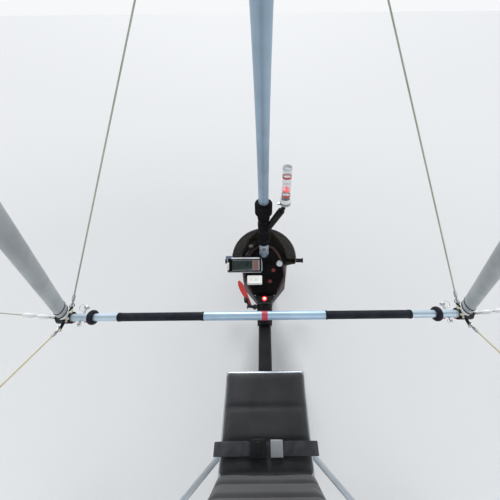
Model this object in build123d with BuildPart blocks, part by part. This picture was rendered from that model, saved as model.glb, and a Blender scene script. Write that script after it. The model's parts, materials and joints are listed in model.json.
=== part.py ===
"""Single-seat microlight trike with its flex wing, parked on its three wheels.

+X points ahead, +Y to the left and +Z up, with the origin on the ground below the middle of
the aircraft. Lengths are in millimetres and angles in degrees. The hang bolt, where the wing hangs
from the mast, is the datum: a station is a distance ahead of it.
"""

import os
from math import cos, hypot, radians, sin, tan

from build123d import *

os.makedirs("parts", exist_ok=True)

# The datum and the wing's attitude when it is parked level
HANG_X = 242
HANG_Z = 2270
WING_PITCH = radians(5.5)
SIDES = (("left", 1), ("right", -1))

# The trike's base tube, mast and bowed front strut
BASE_WIDTH, BASE_HEIGHT, BASE_WALL, BASE_ROUND = 70, 80, 4, 14
BASE_REAR = (-560, 277)
BASE_FRONT = (1102, 382)
MAST_FOOT = (-380, 345)
MAST_RADIUS, MAST_WALL = 28, 3
MAST_GAP = 52
STRUT_RADIUS, STRUT_WALL = 25, 2.5
STRUT_FOOT = (970, 430)
STRUT_BEND = (940, 1000)
STRUT_HEAD = (62, 1990)
HEAD_PLATE = 6
HANG_BOLT_RADIUS = 8
RUNNING = 0.05

# The nose wheel, its fork and the foot bar that steers it
NOSE_AXLE = (1187, 150)
NOSE_RADIUS, NOSE_WIDTH = 150, 85
RAKE = radians(20)
STEM_RADIUS = 15
CROWN_LOW, CROWN_HIGH = 166, 190
HEAD_LOW, HEAD_HIGH = 195, 300
BLADE_Y = 62
FOOT_BAR = 285

# The main wheels and the legs that carry them
AXLE_STATION = -430
MAIN_RADIUS, MAIN_WIDTH = 175, 85
MAIN_Y = 735
STUB_RADIUS = 10
EYE_LEFT, EYE_Z, EYE_RADIUS = 630, 152, 6.5
LEG_RADIUS = 20

# The engine, its gearbox and the propeller
CRANK_Z, SHAFT_Z = 700, 800
ENGINE_STATION = -520
BLADE_STATION = -710
PROPELLER_RADIUS = 600

# The nose pod, with its sloping instrument panel and the screen in front of it
POD_WALL = 4
PANEL_TOP = (985, 660)
PANEL_LOW = (770, 455)

# The wing, in its own tilted frame: ahead of the hang bolt, left of the keel, above the hang bolt
KEEL_UP, KEEL_RADIUS = 75, 22
KEEL_NOSE, KEEL_TAIL = 1325, -1650
REAR_TANG = -1500
NOSE_ANGLE = radians(61)
EDGE_START = (1268, 50)
EDGE_RADIUS = 25
HALF_SPAN = 4800
CROSS_RADIUS = 22
CROSS_LEFT = 2480
APEX_AHEAD = 95
BAR_AHEAD, BAR_UP = 267.5, -1447
BAR_HALF = 748
WIRE_RADIUS = 2.5
TANG_RADIUS = 5
POST_TOP = 960


def station(ahead, left, up):
    """Point on the trike: ahead of the hang bolt, left of the middle, above the ground."""
    return Vector(HANG_X + ahead, left, up)


def on_wing(ahead, left, up):
    """Point in the wing's own frame, which is tilted nose up about the hang bolt."""
    return Vector(
        HANG_X + ahead * cos(WING_PITCH) - up * sin(WING_PITCH),
        left,
        HANG_Z + ahead * sin(WING_PITCH) + up * cos(WING_PITCH),
    )


def on_steering(along, ahead=0, left=0):
    """Point in the fork's frame: up the steering axis from the nose axle, then square to it."""
    x, z = NOSE_AXLE
    return station(
        x - along * sin(RAKE) + ahead * cos(RAKE), left, z + along * cos(RAKE) + ahead * sin(RAKE)
    )


def base_line(ahead):
    """Height of the base tube's middle line at a station."""
    share = (ahead - BASE_REAR[0]) / (BASE_FRONT[0] - BASE_REAR[0])
    return BASE_REAR[1] + share * (BASE_FRONT[1] - BASE_REAR[1])


def mast_at(up):
    """Station of the mast's middle line at a height: the line runs to the hang bolt."""
    return MAST_FOOT[0] * (HANG_Z - up) / (HANG_Z - MAST_FOOT[1])


def rod(start, end, radius, inner=0):
    """Adds a round tube or rod between two points to the part being built."""
    run = end - start
    with BuildSketch(Plane(origin=start, z_dir=run)) as section:
        Circle(radius)
        if inner:
            Circle(inner, mode=Mode.SUBTRACT)
    extrude(section.sketch, amount=run.length)


def bore(start, end, radius):
    """Cuts a round hole between two points from the part being built."""
    run = end - start
    with BuildSketch(Plane(origin=start, z_dir=run)) as section:
        Circle(radius)
    extrude(section.sketch, amount=run.length, mode=Mode.SUBTRACT)


def block(centre, along, left, up, rounding=0, mode=Mode.ADD):
    """Adds a box with its edges along the trike's axes, rounded along X if asked."""
    rear = centre - Vector(along / 2, 0, 0)
    with BuildSketch(Plane(origin=rear, x_dir=(0, 1, 0), z_dir=(1, 0, 0))) as section:
        if rounding:
            RectangleRounded(left, up, rounding)
        else:
            Rectangle(left, up)
    extrude(section.sketch, amount=along, mode=mode)


def plate_along_y(outline, y_low, thickness, mode=Mode.ADD):
    """Adds a flat plate whose outline is given by stations and heights, from y_low leftwards."""
    side_plane = Plane(origin=(HANG_X, y_low, 0), x_dir=(1, 0, 0), z_dir=(0, -1, 0))
    with BuildSketch(side_plane) as section:
        with BuildLine():
            Polyline(*outline, close=True)
        make_face()
    extrude(section.sketch, amount=-thickness, mode=mode)


def keep(piece, name):
    """Labels a finished piece and writes it."""
    piece.part.label = name
    export_step(piece.part, f"parts/{name}.step")


# The base tube, with the steering head at its front and lugs for the mast and the strut
base_rear = station(BASE_REAR[0], 0, BASE_REAR[1])
base_front = station(BASE_FRONT[0], 0, BASE_FRONT[1])
base_run = base_front - base_rear
with BuildPart() as base_tube:
    with BuildSketch(Plane(origin=base_rear, x_dir=(0, 1, 0), z_dir=base_run)):
        RectangleRounded(BASE_WIDTH, BASE_HEIGHT, BASE_ROUND)
        RectangleRounded(
            BASE_WIDTH - 2 * BASE_WALL,
            BASE_HEIGHT - 2 * BASE_WALL,
            BASE_ROUND - BASE_WALL,
            mode=Mode.SUBTRACT,
        )
    extrude(amount=base_run.length - 30)
    for end_plug in (base_rear, base_front - base_run.normalized() * 60):
        with BuildSketch(Plane(origin=end_plug, x_dir=(0, 1, 0), z_dir=base_run)):
            RectangleRounded(BASE_WIDTH, BASE_HEIGHT, BASE_ROUND)
        extrude(amount=30)
    rod(base_front - base_run.normalized() * 31, base_front, 26)
    rod(on_steering(HEAD_LOW), on_steering(HEAD_HIGH), 28)
    for cup_low in (HEAD_LOW, HEAD_HIGH - 12):
        rod(on_steering(cup_low), on_steering(cup_low + 12), 33)
    bore(on_steering(HEAD_LOW - 5), on_steering(HEAD_HIGH + 5), STEM_RADIUS + RUNNING)
    for lug_side in (1, -1):
        lug_y = MAST_RADIUS if lug_side > 0 else -MAST_RADIUS - 5
        plate_along_y(
            [
                (MAST_FOOT[0] - 45, base_line(MAST_FOOT[0]) + BASE_HEIGHT / 2 - 12),
                (MAST_FOOT[0] + 55, base_line(MAST_FOOT[0]) + BASE_HEIGHT / 2 - 12),
                (MAST_FOOT[0] + 45, MAST_FOOT[1] + 60),
                (MAST_FOOT[0] - 20, MAST_FOOT[1] + 60),
            ],
            lug_y,
            5,
        )
        plate_along_y(
            [
                (STRUT_FOOT[0] - 45, base_line(STRUT_FOOT[0]) + BASE_HEIGHT / 2 - 12),
                (STRUT_FOOT[0] + 45, base_line(STRUT_FOOT[0]) + BASE_HEIGHT / 2 - 12),
                (STRUT_FOOT[0] + 22, STRUT_FOOT[1] + 55),
                (STRUT_FOOT[0] - 26, STRUT_FOOT[1] + 55),
            ],
            lug_y - 3 * lug_side,
            5,
        )
keep(base_tube, "base_tube")

# The space inside the base tube's outer faces: what is welded to the tube is cut flush with it
with BuildPart() as base_space:
    with BuildSketch(Plane(origin=base_rear, x_dir=(0, 1, 0), z_dir=base_run)):
        RectangleRounded(BASE_WIDTH, BASE_HEIGHT, BASE_ROUND)
    extrude(amount=base_run.length)

# The mast, a plain round tube that leans ahead to the hang bolt
mast_low = station(mast_at(MAST_FOOT[1]), 0, MAST_FOOT[1])
hang_bolt = station(0, 0, HANG_Z)
mast_up = (hang_bolt - mast_low).normalized()
mast_high = hang_bolt - mast_up * MAST_GAP
with BuildPart() as mast:
    rod(mast_low, mast_high, MAST_RADIUS, MAST_RADIUS - MAST_WALL)
    rod(mast_low, mast_low + mast_up * 20, MAST_RADIUS - MAST_WALL)
    rod(mast_high - mast_up * 12, mast_high, MAST_RADIUS - MAST_WALL)
keep(mast, "mast")
with BuildPart() as mast_space:
    rod(mast_low, mast_high, MAST_RADIUS)

# The front strut: straight from the base tube, then one long bow back to the mast's head
strut_foot = station(STRUT_FOOT[0], 0, STRUT_FOOT[1])
strut_bend = station(STRUT_BEND[0], 0, STRUT_BEND[1])
strut_head = station(STRUT_HEAD[0], 0, STRUT_HEAD[1])
strut_up = (strut_bend - strut_foot).normalized()
with BuildPart() as front_strut:
    with BuildLine() as strut_line:
        strut_leg = Line(strut_foot, strut_bend)
        strut_bow = TangentArc(strut_bend, strut_head, tangent=strut_leg % 1)
    strut_end = (strut_bow % 1).normalized()
    with BuildSketch(Plane(origin=strut_foot, z_dir=strut_up)):
        Circle(STRUT_RADIUS)
        Circle(STRUT_RADIUS - STRUT_WALL, mode=Mode.SUBTRACT)
    sweep(path=strut_line.line)
    rod(strut_foot, strut_foot + strut_up * 20, STRUT_RADIUS - STRUT_WALL)
    block(strut_head - Vector(4, 0, 0), 44, 2 * MAST_RADIUS, 44)
keep(front_strut, "front_strut")

# The mast's head: two plates with lightening holes that take the mast, the strut and the hang bolt
HEAD_HOLES = (
    # station, height, radius
    (8, 2012, 15),
    (18, 2072, 12),
    (22, 2124, 9),
)
with BuildPart() as mast_head:
    for plate_y in (MAST_RADIUS, -MAST_RADIUS - HEAD_PLATE):
        plate_along_y(
            [
                (mast_at(1930) - 30, 1930),
                (mast_at(1930) + 34, 1930),
                (118, 1935),
                (122, 2010),
                (40, 2150),
                (24, 2285),
                (10, 2294),
                (-10, 2294),
                (-24, 2285),
                (mast_at(2120) - 32, 2120),
            ],
            plate_y,
            HEAD_PLATE,
        )
    bore(
        station(0, -MAST_RADIUS - HEAD_PLATE - 1, HANG_Z),
        station(0, MAST_RADIUS + HEAD_PLATE + 1, HANG_Z),
        HANG_BOLT_RADIUS + RUNNING,
    )
    for hole_ahead, hole_up, hole_radius in HEAD_HOLES:
        bore(
            station(hole_ahead, -MAST_RADIUS - HEAD_PLATE - 1, hole_up),
            station(hole_ahead, MAST_RADIUS + HEAD_PLATE + 1, hole_up),
            hole_radius,
        )
    rod(station(110, -MAST_RADIUS, 1945), station(110, MAST_RADIUS, 1945), 7)
keep(mast_head, "mast_head")

# The hang bolt with its head and nut
with BuildPart() as hang_bolt_piece:
    rod(station(0, -52, HANG_Z), station(0, 52, HANG_Z), HANG_BOLT_RADIUS)
    for head_y in (MAST_RADIUS + HEAD_PLATE, -MAST_RADIUS - HEAD_PLATE - 10):
        with BuildSketch(Plane(origin=station(0, head_y, HANG_Z), z_dir=(0, 1, 0))):
            RegularPolygon(15, 6)
        extrude(amount=10)
keep(hang_bolt_piece, "hang_bolt")

# The rear legs, with the stub axles that the main wheels turn on
with BuildPart() as rear_legs:
    for side_name, side in SIDES:
        rod(
            station(AXLE_STATION, 0, base_line(AXLE_STATION) + 8),
            station(AXLE_STATION, side * 652, 205),
            LEG_RADIUS,
            LEG_RADIUS - 3,
        )
        block(station(AXLE_STATION, side * 656, 188), 62, 14, 100, 6)
        rod(
            station(AXLE_STATION, side * 656, MAIN_RADIUS),
            station(AXLE_STATION, side * 796, MAIN_RADIUS),
            STUB_RADIUS,
        )
        rod(
            station(AXLE_STATION, side * 786, MAIN_RADIUS),
            station(AXLE_STATION, side * 798, MAIN_RADIUS),
            17,
        )
        block(station(AXLE_STATION, side * (EYE_LEFT + 1), EYE_Z), 8, 38, 34, 8)
        bore(
            station(AXLE_STATION - 6, side * EYE_LEFT, EYE_Z),
            station(AXLE_STATION + 6, side * EYE_LEFT, EYE_Z),
            EYE_RADIUS,
        )
    add(base_space.part, mode=Mode.SUBTRACT)
keep(rear_legs, "rear_legs")

# The drag stays ahead of the legs and the side stays up to the mast
with BuildPart() as gear_stays:
    for side_name, side in SIDES:
        rod(
            station(250, 0, base_line(210)),
            station(AXLE_STATION + 31, side * 650, 212),
            12,
        )
        block(station(215, side * (BASE_WIDTH / 2 + 3), base_line(210)), 60, 6, 44, 2)
    for side_name, side in SIDES:
        rod(
            station(mast_at(480), 0, 480),
            station(AXLE_STATION, side * 652, 222),
            11,
        )
    add(base_space.part, mode=Mode.SUBTRACT)
    add(mast_space.part, mode=Mode.SUBTRACT)
    add(rear_legs.part, mode=Mode.SUBTRACT)
keep(gear_stays, "gear_stays")


def revolve_about_y(outline, centre):
    """Adds a body of revolution about a wheel's axle from radius and width points."""
    with BuildSketch(Plane(origin=centre, x_dir=(1, 0, 0), z_dir=(0, 0, 1))) as section:
        with BuildLine():
            Polyline(*outline, close=True)
        make_face()
    revolve(section.sketch, axis=Axis(centre, (0, 1, 0)))


def tyre_ring(centre, radius, width, rim_radius):
    """Adds a tyre: bead seats, bulging side walls, rounded shoulders and a nearly flat crown."""
    half = width / 2
    wall = radius - rim_radius
    side_profile = (
        # share of the wall's height, share of the half width
        (0.00, 0.62),
        (0.18, 0.84),
        (0.50, 1.00),
        (0.82, 0.86),
        (0.97, 0.50),
    )
    left_side = [(rim_radius + wall * rise, half * out) for rise, out in side_profile]
    right_side = [(rim_radius + wall * rise, -half * out) for rise, out in reversed(side_profile)]
    revolve_about_y(left_side + [(radius, 0)] + right_side, centre)


def wheel_rim(centre, rim_radius, width, bore_radius, hub_half):
    """Adds a dished rim with a hub, a web and a ring of round holes."""
    half = width * 0.31
    well = rim_radius - 12
    revolve_about_y(
        [
            (well, -half - 4),
            (rim_radius, -half - 4),
            (rim_radius, half + 4),
            (well, half + 4),
            (well, 6),
            (28, 6),
            (28, hub_half),
            (bore_radius, hub_half),
            (bore_radius, -hub_half),
            (28, -hub_half),
            (28, -6),
            (well, -6),
        ],
        centre,
    )
    web_side = centre - Vector(0, 10, 0)
    with BuildSketch(Plane(origin=web_side, x_dir=(1, 0, 0), z_dir=(0, 1, 0))) as holes:
        with PolarLocations((rim_radius + 12) / 2, 5):
            Circle((rim_radius - 44) / 2.6)
    extrude(holes.sketch, amount=20, mode=Mode.SUBTRACT)


MAIN_RIM, NOSE_RIM = 96, 80
for side_name, side in SIDES:
    wheel_centre = station(AXLE_STATION, side * MAIN_Y, MAIN_RADIUS)
    with BuildPart() as main_tyre:
        tyre_ring(wheel_centre, MAIN_RADIUS, MAIN_WIDTH, MAIN_RIM)
    keep(main_tyre, f"main_tyre_{side_name}")
    with BuildPart() as main_rim:
        wheel_rim(wheel_centre, MAIN_RIM, MAIN_WIDTH, STUB_RADIUS + RUNNING, 46)
    keep(main_rim, f"main_rim_{side_name}")

# The nose wheel and its fork, which the foot bar turns
nose_centre = station(NOSE_AXLE[0], 0, NOSE_AXLE[1])
with BuildPart() as nose_tyre:
    tyre_ring(nose_centre, NOSE_RADIUS, NOSE_WIDTH, NOSE_RIM)
keep(nose_tyre, "nose_tyre")
with BuildPart() as nose_rim:
    wheel_rim(nose_centre, NOSE_RIM, NOSE_WIDTH, 8 + RUNNING, 50)
keep(nose_rim, "nose_rim")
steering_up = Vector(-sin(RAKE), 0, cos(RAKE))
steering_ahead = Vector(cos(RAKE), 0, sin(RAKE))
with BuildPart() as nose_fork:
    rod(on_steering(CROWN_HIGH - 4), on_steering(HEAD_HIGH + 18), STEM_RADIUS)
    rod(on_steering(HEAD_HIGH + 5), on_steering(HEAD_HIGH + 19), 23)
    with BuildSketch(Plane(origin=on_steering(CROWN_LOW), x_dir=(0, 1, 0), z_dir=steering_up)):
        RectangleRounded(2 * BLADE_Y + 16, 64, 14)
    extrude(amount=CROWN_HIGH - CROWN_LOW)
    for side_name, side in SIDES:
        blade_origin = on_steering(0, 0, side * BLADE_Y) - Vector(0, 5, 0)
        with BuildSketch(Plane(origin=blade_origin, x_dir=steering_ahead, z_dir=(0, 1, 0))):
            with BuildLine():
                Polyline(
                    (-17, 0), (-27, -CROWN_HIGH + 4), (27, -CROWN_HIGH + 4), (17, 0), close=True
                )
            make_face()
            Circle(19)
        extrude(amount=10)
    rod(on_steering(0, 0, -BLADE_Y - 14), on_steering(0, 0, BLADE_Y + 14), 8)
    rod(on_steering(178, 40, -FOOT_BAR), on_steering(178, 40, FOOT_BAR), 10)
    block(on_steering(178, 30), 28, 60, 22)
keep(nose_fork, "nose_fork")
with BuildPart() as foot_pegs:
    for side_name, side in SIDES:
        rod(
            on_steering(178, 40, side * 165),
            on_steering(178, 40, side * (FOOT_BAR - 4)),
            15,
            10,
        )
        rod(
            on_steering(178, 40, side * FOOT_BAR),
            on_steering(178, 40, side * (FOOT_BAR + 6)),
            19,
        )
keep(foot_pegs, "foot_pegs")

# The nose pod, lofted over arched sections. A low neck runs back along the base tube, the hood over
# the instruments is the highest part, and the nose deck drops away in front of it.
POD_SECTIONS = (
    # station, half_width, low, shoulder, crown
    (600, 41, 392, 402, 420),
    (738, 46, 402, 436, 474),
    (850, 128, 404, 500, 620),
    (985, 150, 408, 515, 664),
    (1045, 150, 410, 508, 608),
    (1110, 146, 414, 498, 578),
    (1240, 108, 428, 482, 540),
    (1335, 48, 452, 478, 502),
)


def pod_body(shrink, drop):
    """Adds the pod's loft: every section is made smaller by shrink and its foot lowered by drop."""
    sections = []
    for ahead, half_width, low, shoulder, crown in POD_SECTIONS:
        wide = half_width - shrink
        across = Plane(origin=(HANG_X + ahead, 0, 0), x_dir=(0, 1, 0), z_dir=(1, 0, 0))
        with BuildSketch(across) as section:
            with BuildLine():
                Polyline((-wide, shoulder), (-wide, low - drop), (wide, low - drop), (wide, shoulder))
                ThreePointArc((wide, shoulder), (0, crown - shrink), (-wide, shoulder))
            make_face()
        sections.append(section.sketch)
    loft(sections, ruled=True)


panel_run = Vector(PANEL_TOP[0] - PANEL_LOW[0], 0, PANEL_TOP[1] - PANEL_LOW[1]).normalized()
panel_normal = Vector(-panel_run.Z, 0, panel_run.X)
panel_plane = Plane(
    origin=station(PANEL_LOW[0], 0, PANEL_LOW[1]), x_dir=(0, -1, 0), z_dir=panel_normal
)
PANEL_CUT = 450
LEVER_POST_RADIUS = 9
lever_post_inner = station(700, 20, 430)
lever_post_outer = station(700, 96, 447)
with BuildPart() as pod_cavity:
    pod_body(POD_WALL, 12)
with BuildPart() as pod_space:
    pod_body(0, 0)
with BuildPart() as nose_pod:
    add(pod_space.part)
    add(pod_cavity.part, mode=Mode.SUBTRACT)
    with BuildSketch(panel_plane):
        Rectangle(PANEL_CUT, PANEL_CUT, align=(Align.CENTER, Align.MIN))
    extrude(amount=300, mode=Mode.SUBTRACT)
    bore(strut_foot, strut_foot + strut_up * 400, STRUT_RADIUS + 3)
    bore(lever_post_inner, lever_post_outer, LEVER_POST_RADIUS + 1)
keep(nose_pod, "nose_pod")
with BuildPart() as instrument_panel:
    with BuildSketch(panel_plane.offset(-6)):
        Rectangle(PANEL_CUT, PANEL_CUT, align=(Align.CENTER, Align.MIN))
    extrude(amount=5)
    add(pod_cavity.part, mode=Mode.INTERSECT)
    bore(strut_foot, strut_foot + strut_up * 400, STRUT_RADIUS + 2)
keep(instrument_panel, "instrument_panel")

# The screen: a smoked sheet that stands on the deck in front of the hood and leans back over it
SCREEN_ARCHES = (
    # foot station, foot height, half width, apex station, apex height
    (965, 500, 146, 1104, 572),
    (950, 528, 174, 1092, 664),
    (925, 560, 192, 1040, 750),
)
SCREEN_WALL = 3
with BuildPart() as windscreen:
    for foot_x, foot_z, half_width, apex_x, apex_z in SCREEN_ARCHES:
        rise = hypot(apex_x - foot_x, apex_z - foot_z)
        screen_up = Vector(apex_x - foot_x, 0, apex_z - foot_z).normalized()
        arch_normal = Vector(screen_up.Z, 0, -screen_up.X)
        inner_half = half_width - SCREEN_WALL
        with BuildSketch(
            Plane(origin=station(foot_x, 0, foot_z), x_dir=(0, 1, 0), z_dir=arch_normal)
        ):
            with BuildLine():
                ThreePointArc((half_width, 0), (0, rise), (-half_width, 0))
                Line((-half_width, 0), (-inner_half, 0))
                ThreePointArc((-inner_half, 0), (0, rise - SCREEN_WALL), (inner_half, 0))
                Line((inner_half, 0), (half_width, 0))
            make_face()
    loft()
    add(pod_space.part, mode=Mode.SUBTRACT)
keep(windscreen, "windscreen")

# What stands on the panel and the strut
DISPLAY_WIDTH, DISPLAY_HEIGHT, DISPLAY_DEPTH = 198, 80, 22
with BuildPart() as display_unit:
    display_face = Plane(origin=station(848, 112, 641), x_dir=(0, 1, 0), z_dir=(-0.62, 0, 0.78))
    with BuildSketch(display_face):
        RectangleRounded(DISPLAY_WIDTH, DISPLAY_HEIGHT, 8)
    extrude(amount=-DISPLAY_DEPTH)
    with BuildSketch(display_face):
        with Locations((-8, 0)):
            RectangleRounded(DISPLAY_WIDTH - 42, DISPLAY_HEIGHT - 20, 4)
    extrude(amount=-3, mode=Mode.SUBTRACT)
    for cooling_slot in range(5):
        with BuildSketch(display_face.offset(-DISPLAY_DEPTH)):
            with Locations((-56 + cooling_slot * 9, 0)):
                SlotOverall(44, 4, rotation=90)
        extrude(amount=2, mode=Mode.SUBTRACT)
keep(display_unit, "display_unit")

# The display's arm: a ball on the hood, a ball behind the display, and a clamp with a knob between
BALL_RADIUS = 14
with BuildPart() as display_mount:
    hood_ball = station(990, 52, 678)
    display_ball = station(902, 98, 668)
    clamp_middle = (hood_ball + display_ball) * 0.5
    rod(hood_ball - Vector(0, 0, 40), hood_ball - Vector(0, 0, 18), 19)
    rod(hood_ball - Vector(0, 0, 20), hood_ball, 8)
    rod(hood_ball, display_ball, 9)
    for end_ball in (hood_ball, display_ball):
        with Locations(end_ball):
            Sphere(BALL_RADIUS)
    for clamp_half in (-1, 1):
        offset_up = Vector(0, 0, clamp_half * 7)
        rod(hood_ball + offset_up, display_ball + offset_up, 5)
    rod(clamp_middle - Vector(0, 0, 16), clamp_middle + Vector(0, 0, 24), 6)
    rod(clamp_middle + Vector(0, 0, 14), clamp_middle + Vector(0, 0, 26), 13)
    rod(display_ball, station(872, 98, 646), 8)
    for neighbour in (pod_space, display_unit):
        add(neighbour.part, mode=Mode.SUBTRACT)
keep(display_mount, "display_mount")
with BuildPart() as panel_instruments:
    with BuildSketch(panel_plane):
        with Locations((0, 11), (34, 84)):
            Circle(9)
    extrude(amount=9)
    with BuildSketch(panel_plane):
        with Locations((-58, 92)):
            RectangleRounded(90, 56, 6)
    extrude(amount=8)
    with BuildSketch(panel_plane):
        with Locations((92, 190)):
            Circle(17)
    extrude(amount=12)
    for light_left, light_along in ((0, 11), (-34, 84), (58, 92), (-92, 190)):
        light_foot = panel_plane.from_local_coords((-light_left, light_along, 0))
        rod(light_foot - panel_normal, light_foot, 6)
keep(panel_instruments, "panel_instruments")
WRAP_LOW, CUFF_HIGH, COLLAR_LOW = 290, 340, 505
with BuildPart() as strut_wrap:
    rod(strut_foot + strut_up * WRAP_LOW, strut_bend, 32, STRUT_RADIUS)
    rod(strut_foot + strut_up * WRAP_LOW, strut_foot + strut_up * CUFF_HIGH, 37, STRUT_RADIUS)
    rod(strut_foot + strut_up * COLLAR_LOW, strut_bend, 44, STRUT_RADIUS)
keep(strut_wrap, "strut_wrap")
AIRSPEED = (905, -104)
with BuildPart() as airspeed_clamp:
    arm_low, arm_high = station(948, -22, 830), station(918, -88, 966)
    arm_run = arm_high - arm_low
    rod(arm_low, arm_high, 18)
    rod(arm_high - arm_run * 0.05, arm_high + arm_run * 0.14, 11)
    rod(arm_high + arm_run * 0.08, station(*AIRSPEED, 1016), 8)
    rod(station(*AIRSPEED, 1012), station(*AIRSPEED, 1034), 24)
    bore(strut_foot + strut_up * WRAP_LOW, strut_bend, STRUT_RADIUS + 5)
    add(strut_wrap.part, mode=Mode.SUBTRACT)
keep(airspeed_clamp, "airspeed_clamp")
with BuildPart() as airspeed_tube:
    rod(station(*AIRSPEED, 1034), station(*AIRSPEED, 1202), 20, 17)
keep(airspeed_tube, "airspeed_tube")

# The hand lever beside the pod: a slim blade that swells and tapers, on a post from the base tube
LEVER_SECTIONS = (
    # share of the length, width, thickness
    (0.00, 15, 12),
    (0.12, 22, 13),
    (0.62, 22, 11),
    (0.92, 15, 9),
    (1.00, 7, 6),
)
lever_low = station(703, 82, 447)
lever_high = station(806, 150, 548)
lever_run = lever_high - lever_low
with BuildPart() as hand_lever:
    lever_cuts = []
    for share, width, thickness in LEVER_SECTIONS:
        cut_plane = Plane(origin=lever_low + lever_run * share, x_dir=(0.58, -0.81, 0), z_dir=lever_run)
        with BuildSketch(cut_plane) as section:
            RectangleRounded(width, thickness, thickness * 0.4)
        lever_cuts.append(section.sketch)
    loft(lever_cuts, ruled=True)
keep(hand_lever, "hand_lever")
with BuildPart() as lever_pivot:
    rod(lever_post_inner, lever_post_outer, LEVER_POST_RADIUS)
    rod(station(700, 52, 436), station(700, 64, 440), 15)
    rod(station(700, 95, 446), station(700, 101, 448), 14)
    rod(station(716, 106, 470), station(722, 108, 494), 12)
    rod(station(706, 92, 450), station(718, 107, 478), 6)
    for neighbour in (base_space, hand_lever):
        add(neighbour.part, mode=Mode.SUBTRACT)
keep(lever_pivot, "lever_pivot")

# The seat, its frame on the base tube and the fuel tank behind it
SEAT_FRONT, SEAT_REAR, SEAT_TOP = (330, 452), (-50, 425), (-205, 965)
SEAT_HALF = 172
seat_run = station(SEAT_FRONT[0], 0, SEAT_FRONT[1]) - station(SEAT_REAR[0], 0, SEAT_REAR[1])
back_run = station(SEAT_TOP[0], 0, SEAT_TOP[1]) - station(SEAT_REAR[0], 0, SEAT_REAR[1])
seat_up = Vector(-seat_run.normalized().Z, 0, seat_run.normalized().X)
back_up = Vector(back_run.normalized().Z, 0, -back_run.normalized().X)
with BuildPart() as seat_base_pad:
    seat_middle = station(SEAT_REAR[0], 0, SEAT_REAR[1]) + seat_run * 0.53 + seat_up * 11
    with BuildSketch(Plane(origin=seat_middle, x_dir=seat_run, z_dir=seat_up)):
        RectangleRounded(seat_run.length * 0.98, 2 * SEAT_HALF + 30, 30)
    extrude(amount=52)
keep(seat_base_pad, "seat_base_pad")
with BuildPart() as seat_back_pad:
    back_middle = station(SEAT_REAR[0], 0, SEAT_REAR[1]) + back_run * 0.55 + back_up * 11
    with BuildSketch(Plane(origin=back_middle, x_dir=back_run, z_dir=back_up)):
        RectangleRounded(back_run.length * 0.84, 2 * SEAT_HALF + 30, 30)
    extrude(amount=48)
keep(seat_back_pad, "seat_back_pad")
with BuildPart() as seat_frame:
    for side_name, side in SIDES:
        front = station(SEAT_FRONT[0], side * SEAT_HALF, SEAT_FRONT[1])
        rear = station(SEAT_REAR[0], side * SEAT_HALF, SEAT_REAR[1])
        top = station(SEAT_TOP[0], side * SEAT_HALF, SEAT_TOP[1])
        rod(front, rear, 11)
        rod(rear, top, 11)
        with Locations(rear, front, top):
            Sphere(11)
    for corner in (SEAT_FRONT, SEAT_REAR, SEAT_TOP):
        rod(station(corner[0], -SEAT_HALF, corner[1]), station(corner[0], SEAT_HALF, corner[1]), 11)
    for post in (40, 260):
        block(station(post, 0, 405), 60, 60, 130)
    with BuildSketch(Plane(origin=seat_middle, x_dir=seat_run, z_dir=seat_up)):
        Rectangle(seat_run.length * 0.94, 2 * SEAT_HALF)
    extrude(amount=-4)
    with BuildSketch(Plane(origin=back_middle, x_dir=back_run, z_dir=back_up)):
        Rectangle(back_run.length * 0.8, 2 * SEAT_HALF)
    extrude(amount=-4)
    block(station(SEAT_TOP[0] - 30, 0, SEAT_TOP[1]), 60, 40, 26)
    for neighbour in (base_space, mast_space, seat_base_pad, seat_back_pad):
        add(neighbour.part, mode=Mode.SUBTRACT)
keep(seat_frame, "seat_frame")
TANK_SECTIONS = (
    # share of the length, shrink of the outline
    (0.00, 14),
    (0.07, 3),
    (0.12, 0),
    (0.26, 0),
    (0.28, 5),
    (0.38, 5),
    (0.40, 0),
    (0.62, 0),
    (0.64, 5),
    (0.74, 5),
    (0.76, 0),
    (0.88, 0),
    (0.93, 3),
    (1.00, 14),
)
TANK_LENGTH, TANK_WIDTH, TANK_HEIGHT, TANK_ROUND = 172, 300, 190, 34
with BuildPart() as fuel_tank:
    tank_rear = station(-300, 0, base_line(-300)) + Vector(0, 0, BASE_HEIGHT / 2 + 95)
    tank_cuts = []
    for share, shrink in TANK_SECTIONS:
        cut_origin = tank_rear + base_run.normalized() * TANK_LENGTH * share
        with BuildSketch(Plane(origin=cut_origin, x_dir=(0, 1, 0), z_dir=base_run)) as section:
            RectangleRounded(TANK_WIDTH - 2 * shrink, TANK_HEIGHT - 2 * shrink, TANK_ROUND - shrink)
        tank_cuts.append(section.sketch)
    loft(tank_cuts, ruled=True)
    rod(station(-205, 80, 500), station(-205, 80, 536), 30)
    rod(station(-205, 80, 536), station(-205, 80, 552), 26)
    for cap_rib in range(10):
        around = radians(cap_rib * 36)
        rib_foot = station(-205 + 26 * cos(around), 80 + 26 * sin(around), 538)
        rod(rib_foot, rib_foot + Vector(0, 0, 12), 3)
    add(base_space.part, mode=Mode.SUBTRACT)
keep(fuel_tank, "fuel_tank")

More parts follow.
